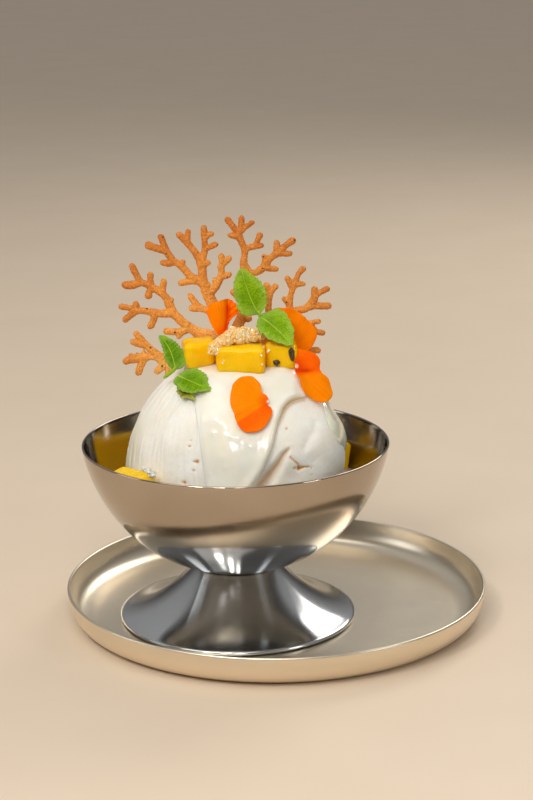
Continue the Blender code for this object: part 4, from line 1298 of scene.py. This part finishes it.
def filled(outline, count, soft, teeth=0, tooth=0.0):
    """A square grid drawn into an outline: across, up and the share of the way out, 0 to 1."""
    knots = np.array(outline, float)
    middle = (knots.min(0) + knots.max(0)) / 2
    arms = knots - middle
    angles = np.arctan2(arms[:, 1], arms[:, 0])
    order = np.argsort(angles)
    fine = np.radians(np.arange(-180, 180, 0.5))
    reach = np.interp(fine, angles[order], np.hypot(*arms.T)[order], period=2 * math.pi)
    shifts = np.arange(-24, 25)
    weights = hill(shifts, 2 * soft)
    reach = sum(w * np.roll(reach, k) for w, k in zip(weights, shifts)) / weights.sum()
    from_tip = np.abs((fine - math.pi / 2 + math.pi) % (2 * math.pi) - math.pi)
    reach += tooth * (0.5 - (from_tip * teeth / math.pi) % 1) * ease(from_tip, 2.9, 2.4)
    u, v = np.meshgrid(np.linspace(-1, 1, count), np.linspace(-1, 1, count))
    x, y = u * np.sqrt(1 - v * v / 2), v * np.sqrt(1 - u * u / 2)
    out = np.hypot(x, y)
    reach = np.interp(np.arctan2(y, x), fine, reach, period=2 * math.pi)
    return middle[0] + x * reach, middle[1] + y * reach, out


FRONT_PETAL = (
    ((14.3, 52.1), (15.0, 50.9), (16.1, 50.0), (16.5, 48.2), (16.4, 46.4), (15.7, 44.6), (14.7, 42.8))
    + ((13.6, 40.7), (12.2, 39.2), (10.6, 38.4), (8.7, 37.8), (6.8, 37.6), (5.1, 37.7), (3.5, 38.4))
    + ((2.3, 39.5), (1.2, 41.1), (0.5, 43.0), (0.1, 44.9), (-0.3, 46.8), (-1.2, 48.2), (-1.9, 50.2))
    + ((-2.1, 52.1), (-2.1, 54.5), (-1.7, 56.7), (-1.3, 58.7), (-0.8, 60.8), (0.1, 62.1), (1.4, 63.9))
    + ((2.7, 65.1), (4.0, 65.6), (5.7, 65.6), (7.1, 65.2), (8.4, 64.4), (9.5, 63.2), (10.4, 61.9))
    + ((11.2, 60.4), (11.5, 58.9), (11.7, 57.4), (12.6, 56.7), (13.6, 56.2), (14.5, 55.1), (15.2, 54.0))
    + ((15.3, 53.4),)
)
ROLLED_PETAL = (
    (217, 300.5), (222, 299.2), (227, 298.8), (231, 299.8), (234.5, 302.5), (237, 306),
    (238.8, 310.5), (236, 313.5), (232, 317), (229, 321), (227.5, 326), (226.5, 331),
    (224.5, 334.3), (222, 335.3), (219, 334.3), (216.5, 331.5), (213, 327), (210.5, 322),
    (208.5, 317), (206.5, 313), (207.5, 309), (209.5, 305), (213, 302),
)
BACK_PETAL = (
    (270.5, 312.5), (272.5, 309.8), (276, 308.4), (283, 308.2), (290, 308.7), (295, 310),
    (299.5, 312.8), (303.5, 316.3), (307.5, 320), (311.5, 324), (314.5, 328), (317.2, 332),
    (316.8, 336), (315, 341), (312.5, 346), (309, 350), (304, 351), (299, 349.5), (292.8, 348.2),
    (285, 346.8), (277, 341.6), (271, 333.2), (268.3, 320.9),
)
RIGHT_PETAL = (
    (293.5, 345), (297, 346.5), (301, 349.5), (305, 350.3), (309, 351.2), (313, 353), (316, 355),
    (318.5, 358), (320, 361.5), (319.8, 366), (320, 369.5), (321.5, 373.8), (325, 376), (328, 378),
    (330.3, 383), (332.3, 388.5), (333.2, 393), (331.5, 398), (329, 401), (324, 402), (319, 401.2),
    (314, 398.5), (309, 395.5), (305, 391), (302, 385.5), (300, 379), (297.5, 374), (296, 370),
    (295.8, 364), (297, 357), (296.5, 351),
)


def petal_look(x, y, claw, low):
    """Angle round the claw, distance from it and a share of painted shade, redder, for the material."""
    turn = np.arctan2(y - claw[1], x - claw[0])
    far = np.hypot(x - claw[0], y - claw[1]) / 18
    return np.stack((turn, far, low + 0 * x), -1)


def petal_skin(name, front, look, material, node, thickness=0.42):
    facing = grid_normals(front)
    points, faces = two_sided(front, front - facing * thickness)
    look = np.concatenate((look.reshape(-1, 3), look.reshape(-1, 3)))
    return new_piece(name, points, faces, material, [node], look)


def flat_petal(name, node, material, outline, centre, up, facing, relief, claw, low):
    x, y, out = filled(on_plane(outline, centre, up, facing), PETAL_GRID, 5.0)
    local = np.stack((x, y, relief(x, y, out)), -1)
    front = np.array(centre) + local @ turned_frame(up, facing)
    petal_skin(name, front, petal_look(x, y, claw, low(x, y)), material, node)


def add_petals():
    material = petal_material()

    side, over, out = filled(FRONT_PETAL, PETAL_GRID, 3.0)
    x, y = side / 9, over / 14
    below = 0.587 * (side - 15) - 0.81 * (over - 53)
    ripple = 0.2 * (1 + np.sin(3 * x + 5 * y)) + 0.12 * np.sin(11 * x - 7 * y) * out**3
    curl = 0.6 * out**4 * ease(x, 0.2, 1.2)
    valley = 0.35 * hill(below, 2.2)
    lift = 3.2 + ripple + curl - valley
    directions = over_the_top(over, side)
    front = mound_points(directions) + directions * lift[..., None]
    # Painted shade, redder, on the part below the crease
    low = 0.9 * ease(below, -0.8, 1.0) * (1 - 0.45 * ease(below, 2, 12))
    look = petal_look(side * 0.9, over * 0.9, (13.6, 48.0), low)
    petal_skin("petal_on_cream", front, look, material, "petal_front")

    def fold(y):
        return between(y, ((-7, 1.1), (-4.7, 1.3), (-0.9, 1.8), (2, 2.05), (6, 2.1)))

    def rolled(x, y, out):
        left = np.clip((x + 6) / (fold(y) + 6), 0, 1)
        right = np.clip((x - fold(y)) / (6.2 - fold(y)), 0, 1)
        bulge = 2.6 * np.sin(math.pi * left**1.25) ** 0.8 * (0.55 + 0.05 * (y + 7))
        flap = 2.2 * right - 0.7 * right**2 + 0.22 * np.sin(2.6 * y - 2.2 * x) * right
        return np.where(x < fold(y), bulge, flap) - 0.9 * ease(y, 3, 7)

    # Painted shade in the crease and on the flap's wrinkles
    def rolled_painted_shade(x, y):
        off = x - fold(y)
        crease = hill(off + 0.1, 1.0) * ease(y, 6.5, 3)
        wrinkles = np.maximum(np.sin(2.6 * y - 2.2 * x + 2.0), 0) * ease(off, 0.2, 1.0)
        return 0.1 + 1.1 * crease + 0.35 * ease(off, 0, 0.8) + 0.45 * wrinkles

    flat_petal(
        "petal_rolled",
        "petal_folded",
        material,
        ROLLED_PETAL,
        (-4.2, -0.8, 116.8),
        (0, 0.05, 1),
        (0, -1, 0.2),
        rolled,
        (0.2, -8.5),
        rolled_painted_shade,
    )
    flat_petal(
        "petal_at_back",
        "petal_behind",
        material,
        BACK_PETAL,
        (21.4, 2.4, 109.6),
        (0.0, 0.12, 1),
        (0.1, -1, 0.2),
        lambda x, y, out: 0.5 * np.sin(0.32 * x + 0.1 * y) + 0.25 * np.sin(0.9 * x - 0.5 * y) * out**2,
        (-3.0, -9.5),
        # Painted shade: a little all over, more round one spot
        lambda x, y: 0.1 + 0.35 * ease(np.hypot(x + 1.0, y - 9.0), 4.0, 0.5),
    )
    flat_petal(
        "petal_at_right",
        "petal_right",
        material,
        RIGHT_PETAL,
        (28.7, -13.0, 97.4),
        (-0.36, 0.45, 1),
        (0.45, -0.9, 0.4),
        lambda x, y, out: (
            0.45 * np.sin(0.6 * x)
            - 0.005 * y * y
            - 0.5 * hill(y - 1 + 0.1 * x, 1.6)
            + 0.3 * np.sin(0.8 * x + 0.9 * y) * out**2
        ),
        (-5.4, 4.4),
        # Painted shade on the lower lobe and in the fold
        lambda x, y: (
            0.95 * ease(y + 0.25 * x, -1.2, 1.6) * (1 - 0.3 * ease(y, 5, 10))
            + 0.6 * hill(y - 1.3 + 0.3 * x, 0.9) * ease(x, 3, -4)
        ),
    )


TOP_LEAF = (
    (243.5, 268.6), (247, 270.5), (250, 273), (253.5, 275.5), (256, 277.5), (258.5, 279.5),
    (261, 281.5), (262, 285), (264, 287), (265.5, 290), (265.5, 293.5), (266.8, 296), (266, 299.5),
    (266.8, 302.5), (266, 304.5), (264.5, 307.5), (262.5, 310.5), (260.5, 313), (259, 315.5),
    (257, 314.6), (254, 315), (250, 315.8), (247, 315.2), (243, 314.6), (240.5, 312.2),
    (238.5, 309.5), (236.5, 307.5), (236.5, 304.5), (238, 302.5), (235.5, 299.8), (234.2, 296.5),
    (233.8, 293), (233.8, 289.5), (234, 286), (233.7, 283.5), (234.8, 280), (236, 276.5),
    (238, 273), (240.5, 270),
)
SIDE_LEAF = (
    (260, 316), (262.5, 313.5), (266, 312.8), (270, 312), (273, 311), (277, 310.6), (280.3, 311.3),
    (281, 313), (284, 313.6), (287.6, 315.8), (287, 318), (290, 320.5), (290.8, 323.5), (292, 327),
    (294.2, 330.5), (293.6, 334), (294, 338), (292.8, 341), (290.5, 343.4), (287.5, 344),
    (284, 343), (280.5, 341.7), (277, 341.6), (273.5, 340.4), (270.5, 340.2), (267.5, 340),
    (266, 338), (264, 335.5), (261, 335), (259.3, 332.5), (258.5, 329.5), (256.5, 327.3),
    (257.3, 323.5), (257.8, 320),
)
LEFT_LEAF = (
    (159.3, 334.6), (163, 335), (167, 336.5), (171, 338.7), (175, 341.8), (178.5, 345.2),
    (180.5, 347.8), (182.7, 349.5), (184.7, 353), (186, 356), (186.6, 360), (185.5, 363.5),
    (183.5, 366.5), (181, 368.5), (178, 369.4), (175, 370.5), (171.5, 368.8), (169, 366.5),
    (167.5, 363.5), (165.5, 361), (163.6, 358), (164.2, 354.5), (163.2, 351), (162.3, 347),
    (161.2, 343), (159.6, 338.5),
)
FLAT_LEAF = (
    (176, 377), (178.5, 375), (182, 373.8), (185, 371.8), (188, 370.3), (191, 370.4), (194, 369.4),
    (197.5, 369.6), (200, 371.3), (203, 373.6), (206, 375.6), (207.6, 378), (208, 380.5),
    (209.8, 383), (210.5, 386), (209.5, 388.3), (206.5, 389.6), (203, 390.6), (200, 391),
    (197.5, 391.6), (195, 393), (191.5, 393.5), (187.5, 392.5), (183, 392.3), (180, 391),
    (178, 388.5), (176.5, 386), (174, 384.6), (173.6, 382), (174.6, 379.5),
)
UNDER_LEAF = (
    (177, 386), (183, 388), (190, 390), (194, 393.5), (192.3, 396), (194, 398.3), (191.5, 398.6),
    (188.5, 397.5), (186, 396.8), (183.5, 398.8), (181.2, 396.8), (180, 395), (177.8, 393.5),
    (177.3, 390),
)


TOP_STALK = ((9.2, -3.4, 112.2), (9.5, -3.3, 115.0), (9.6, -3.2, 116.6), (9.0, -3.5, 119.4))
LEFT_STALK = ((-26.2, -9.8, 95.6), (-22.4, -10.2, 98.6), (-21.4, -9.0, 99.8))


def leaf(outline, base, tip, facing, curl, rib=0.0, teeth=11):
    """Points, faces and look of a toothed leaf, its veins pressed in and the flesh puckered."""
    base, tip = np.array(base, float), np.array(tip, float)
    length = np.linalg.norm(tip - base)
    axes = turned_frame(tip - base, facing)
    x, y, out = filled(on_plane(outline, base, tip - base, facing), LEAF_GRID, 1.2, teeth, 0.45)
    off = x - rib * np.sin(math.pi * np.clip(y / length, 0, 1))
    away = np.abs(off)
    small = waves(np.stack((x * 1.2, y, 0 * x), -1), 0.85, length)
    drift = waves(np.stack((x, y, 0 * x), -1), 4.0, length)
    slanted = (y - 0.62 * away + 0.02 * away**2) / 2.7 + 0.35 * (off > 0) + 0.25 * drift
    phase = slanted % 1.0 - 0.5
    side_vein = hill(phase, 0.09) * ease(away, 0.1, 0.8) * (1 - ease(out, 0.8, 1.0))
    midrib = hill(away, 0.32 - 0.2 * np.clip(y / length, 0, 1))
    flesh = 0.2 * np.cos(math.pi * phase) ** 0.7 * ease(away, 0.2, 1.8) * (1 - 0.5 * out**4)
    z = 0.16 * away + flesh - 0.08 * side_vein - 0.2 * midrib + 0.14 * small
    z = z + 0.3 * np.sin(0.75 * y + 1.1 * np.sign(off)) * out**2 - curl * y**2 / length
    front = base + np.stack((x, y, z), -1) @ axes
    points, faces = two_sided(front, front - grid_normals(front) * 0.3)
    net = hill(small, 0.08) * 0.25
    vein = np.maximum(np.maximum(midrib, 0.45 * side_vein), net)
    # Painted shade share near the midrib's base
    core = hill(away, 3.2) * (1 - ease(y / length, 0.2, 0.9))
    look = np.stack((vein, out, core), -1).reshape(-1, 3)
    return points, faces, np.concatenate((look, look))


def stalk(path, radius, sides=14):
    """Points, faces and look of a rounded stem along a path."""
    path = np.array(path, float)
    share = np.linspace(0, 1, len(path))
    fine = np.linspace(0, 1, 24)
    line = np.stack([np.interp(fine, share, path[:, i]) for i in range(3)], 1)
    along = np.gradient(line, axis=0)
    along /= np.linalg.norm(along, axis=1, keepdims=True)
    side = np.cross(along, (0.3, 1.0, 0.1))
    side /= np.linalg.norm(side, axis=1, keepdims=True)
    other = np.cross(along, side)
    turns = np.arange(sides) * 2 * math.pi / sides
    swell = radius * (1 - 0.9 * np.abs(2 * fine - 1) ** 12)
    points = []
    for i, spot_at in enumerate(line):
        for turn in turns:
            points.append(spot_at + swell[i] * (side[i] * math.cos(turn) + other[i] * math.sin(turn)))
    faces = grid_faces(len(line), sides, 0, around=True)
    faces.append(list(range(sides))[::-1])
    faces.append([(len(line) - 1) * sides + j for j in range(sides)])
    return np.array(points), faces, np.tile((0.6, 0.0, 0.0), (len(points), 1))


def sprig(name, node, material, parts):
    points, faces, look = [], [], []
    for some_points, some_faces, some_look in parts:
        first = sum(len(p) for p in points)
        points.append(some_points)
        faces += [[first + i for i in face] for face in some_faces]
        look.append(some_look)
    nodes = [node] if node else []
    new_piece(name, np.concatenate(points), faces, material, nodes, np.concatenate(look))


def add_mint():
    light = mint_material("mint_light_look", (0.36, 0.54, 0.004), (0.17, 0.36, 0.0))
    dark = mint_material("mint_dark_look", (0.25, 0.47, 0.003), (0.11, 0.28, 0.0))
    sprig(
        "mint_top",
        "mint_sprig_top",
        light,
        (
            leaf(TOP_LEAF, (9.6, -3.2, 116.6), (3.2, -3.4, 134.3), (0.1, -1, 0.25), 0.06, -0.8),
            leaf(SIDE_LEAF, (9.4, -3.6, 117.0), (20.6, -13.4, 109.6), (0.25, -0.8, 0.75), 0.08, -0.6),
            stalk(TOP_STALK, 0.6),
        ),
    )
    sprig(
        "mint_left",
        "mint_sprig_left",
        dark,
        (
            leaf(LEFT_LEAF, (-21.8, -9.4, 98.9), (-27.2, -6.8, 111.4), (0.3, -1, 0.2), 0.08, 1.2, 9),
            leaf(FLAT_LEAF, (-22.8, -10.6, 98.0), (-9.6, -22.6, 95.4), (0.1, -0.75, 0.9), 0.05, 0.3),
            stalk(LEFT_STALK, 0.7),
        ),
    )
    olive = mint_material("mint_olive_look", (0.46, 0.42, 0.05), (0.30, 0.24, 0.02))
    base, tip = (-22.2, -12.0, 96.6), (-16.0, -22.8, 92.4)
    under = leaf(UNDER_LEAF, base, tip, (-0.2, -0.8, 0.6), 0.02, 0.4, 5)
    sprig("mint_under", None, olive, (under,))


FROTH_START, FROTH_END = np.array((-33.2, -28.5, 66.8)), np.array((-29.6, -34.5, 66.3))
FROTH_LUMPS = 34


def add_froth(material):
    """White froth where the sherbet melts over the left-hand cube."""
    draw = random.Random(3)
    points, faces = [], []
    for i in range(FROTH_LUMPS):
        spread = 0.4 + 0.35 * (i / FROTH_LUMPS)
        centre = FROTH_START + (FROTH_END - FROTH_START) * i / FROTH_LUMPS
        centre = centre + [draw.gauss(0, spread) for _ in range(3)]
        crystal(draw, centre, draw.uniform(0.45, 0.95), points, faces, 2)
    new_piece("froth_left", points, faces, material)


# Floor, light and camera, with places and sizes in metres and powers in watts

FLOOR_RADIUS = 14
SKY_STRENGTH = 0.5
AIM = (-0.015, -0.006, 0.07)
LAMPS = (
    ("key", (-0.28, -0.42, 0.88), 0.9, 3.7, (1.0, 0.97, 0.92)),
    ("window_left", (-0.40, -0.60, 0.74), 0.14, 2.0, (1.0, 0.98, 0.95)),
    ("window_middle", (-0.20, -0.82, 0.68), 0.12, 1.2, (1.0, 0.98, 0.95)),
    ("window_right", (0.02, -0.90, 0.58), 0.12, 0.9, (1.0, 0.98, 0.95)),
    ("left", (-0.95, -0.1, 0.35), 0.35, 0.9, (0.95, 0.98, 1.0)),
    ("right", (0.80, -0.55, 0.40), 0.22, 1.3, (0.90, 0.96, 1.0)),
    ("back", (0.45, 0.75, 0.7), 0.45, 3.0, (1.0, 0.96, 0.9)),
)


def add_floor():
    material, tree, shader = new_material("floor_look")
    colour = ramp(tree, grain(tree, 60, 2), (0.3, (0.74, 0.60, 0.45)), (0.7, (0.76, 0.62, 0.47)))
    tree.links.new(colour, shader.inputs["Base Color"])
    set_values(shader, roughness=0.6)
    shape = bmesh.new()
    bmesh.ops.create_circle(shape, cap_ends=True, segments=96, radius=FLOOR_RADIUS)
    mesh = bpy.data.meshes.new("floor")
    shape.to_mesh(mesh)
    shape.free()
    mesh.materials.append(material)
    floor = add_object("floor", mesh)


def add_sky():
    """Soft light from all round, brighter from above and from behind."""
    world = bpy.data.worlds.new("studio")
    world.use_nodes = True
    bpy.context.scene.world = world
    tree = world.node_tree
    place = put(tree, "ShaderNodeTexCoord", {}, "Generated")
    split = tree.nodes.new("ShaderNodeSeparateXYZ")
    tree.links.new(place, split.inputs[0])
    stops = (
        (0.0, (0.12, 0.11, 0.10)),
        (0.16, (0.22, 0.21, 0.20)),
        (0.4, (0.75, 0.74, 0.73)),
        (1.0, (1.1, 1.1, 1.1)),
    )
    colour = ramp(tree, split.outputs[2], *stops)
    depth = reckon(tree, "MULTIPLY_ADD", split.outputs[1], 0.5, 0.5)
    side = ramp(tree, depth, (0.25, 0.55), (0.85, 1.0))
    colour = mix(tree, 1.0, colour, side, "MULTIPLY")
    back = tree.nodes["Background"]
    tree.links.new(colour, back.inputs["Color"])
    back.inputs["Strength"].default_value = SKY_STRENGTH


def add_lamps():
    for name, place, size, power, colour in LAMPS:
        light = bpy.data.lights.new(name, "AREA")
        light.size = size
        light.energy = power
        light.color = colour
        lamp = add_object(name, light)
        lamp.location = place
        lamp.rotation_euler = (Vector(AIM) - lamp.location).to_track_quat("-Z", "Y").to_euler()


def add_camera():
    """The photo's camera: a long lens, pitched down, nearly straight ahead."""
    data = bpy.data.cameras.new("camera")
    data.lens = LENS
    data.sensor_width = FILM
    right, up, ahead = camera_axes()
    camera = add_object("camera", data)
    camera.matrix_world = Matrix((right, up, -ahead)).transposed().to_4x4()
    camera.location = (EYE + CUP) * MM
    bpy.context.scene.camera = camera


cream = cream_material()
add_steel()
add_sherbet()
add_cream(cream)
add_melt(melt_material())
add_mango()
add_seeds()
add_granita()
add_coral()
add_petals()
add_mint()
add_froth(cream)
add_floor()
add_sky()
add_lamps()
add_camera()
bpy.context.scene.view_settings.view_transform = "Standard"
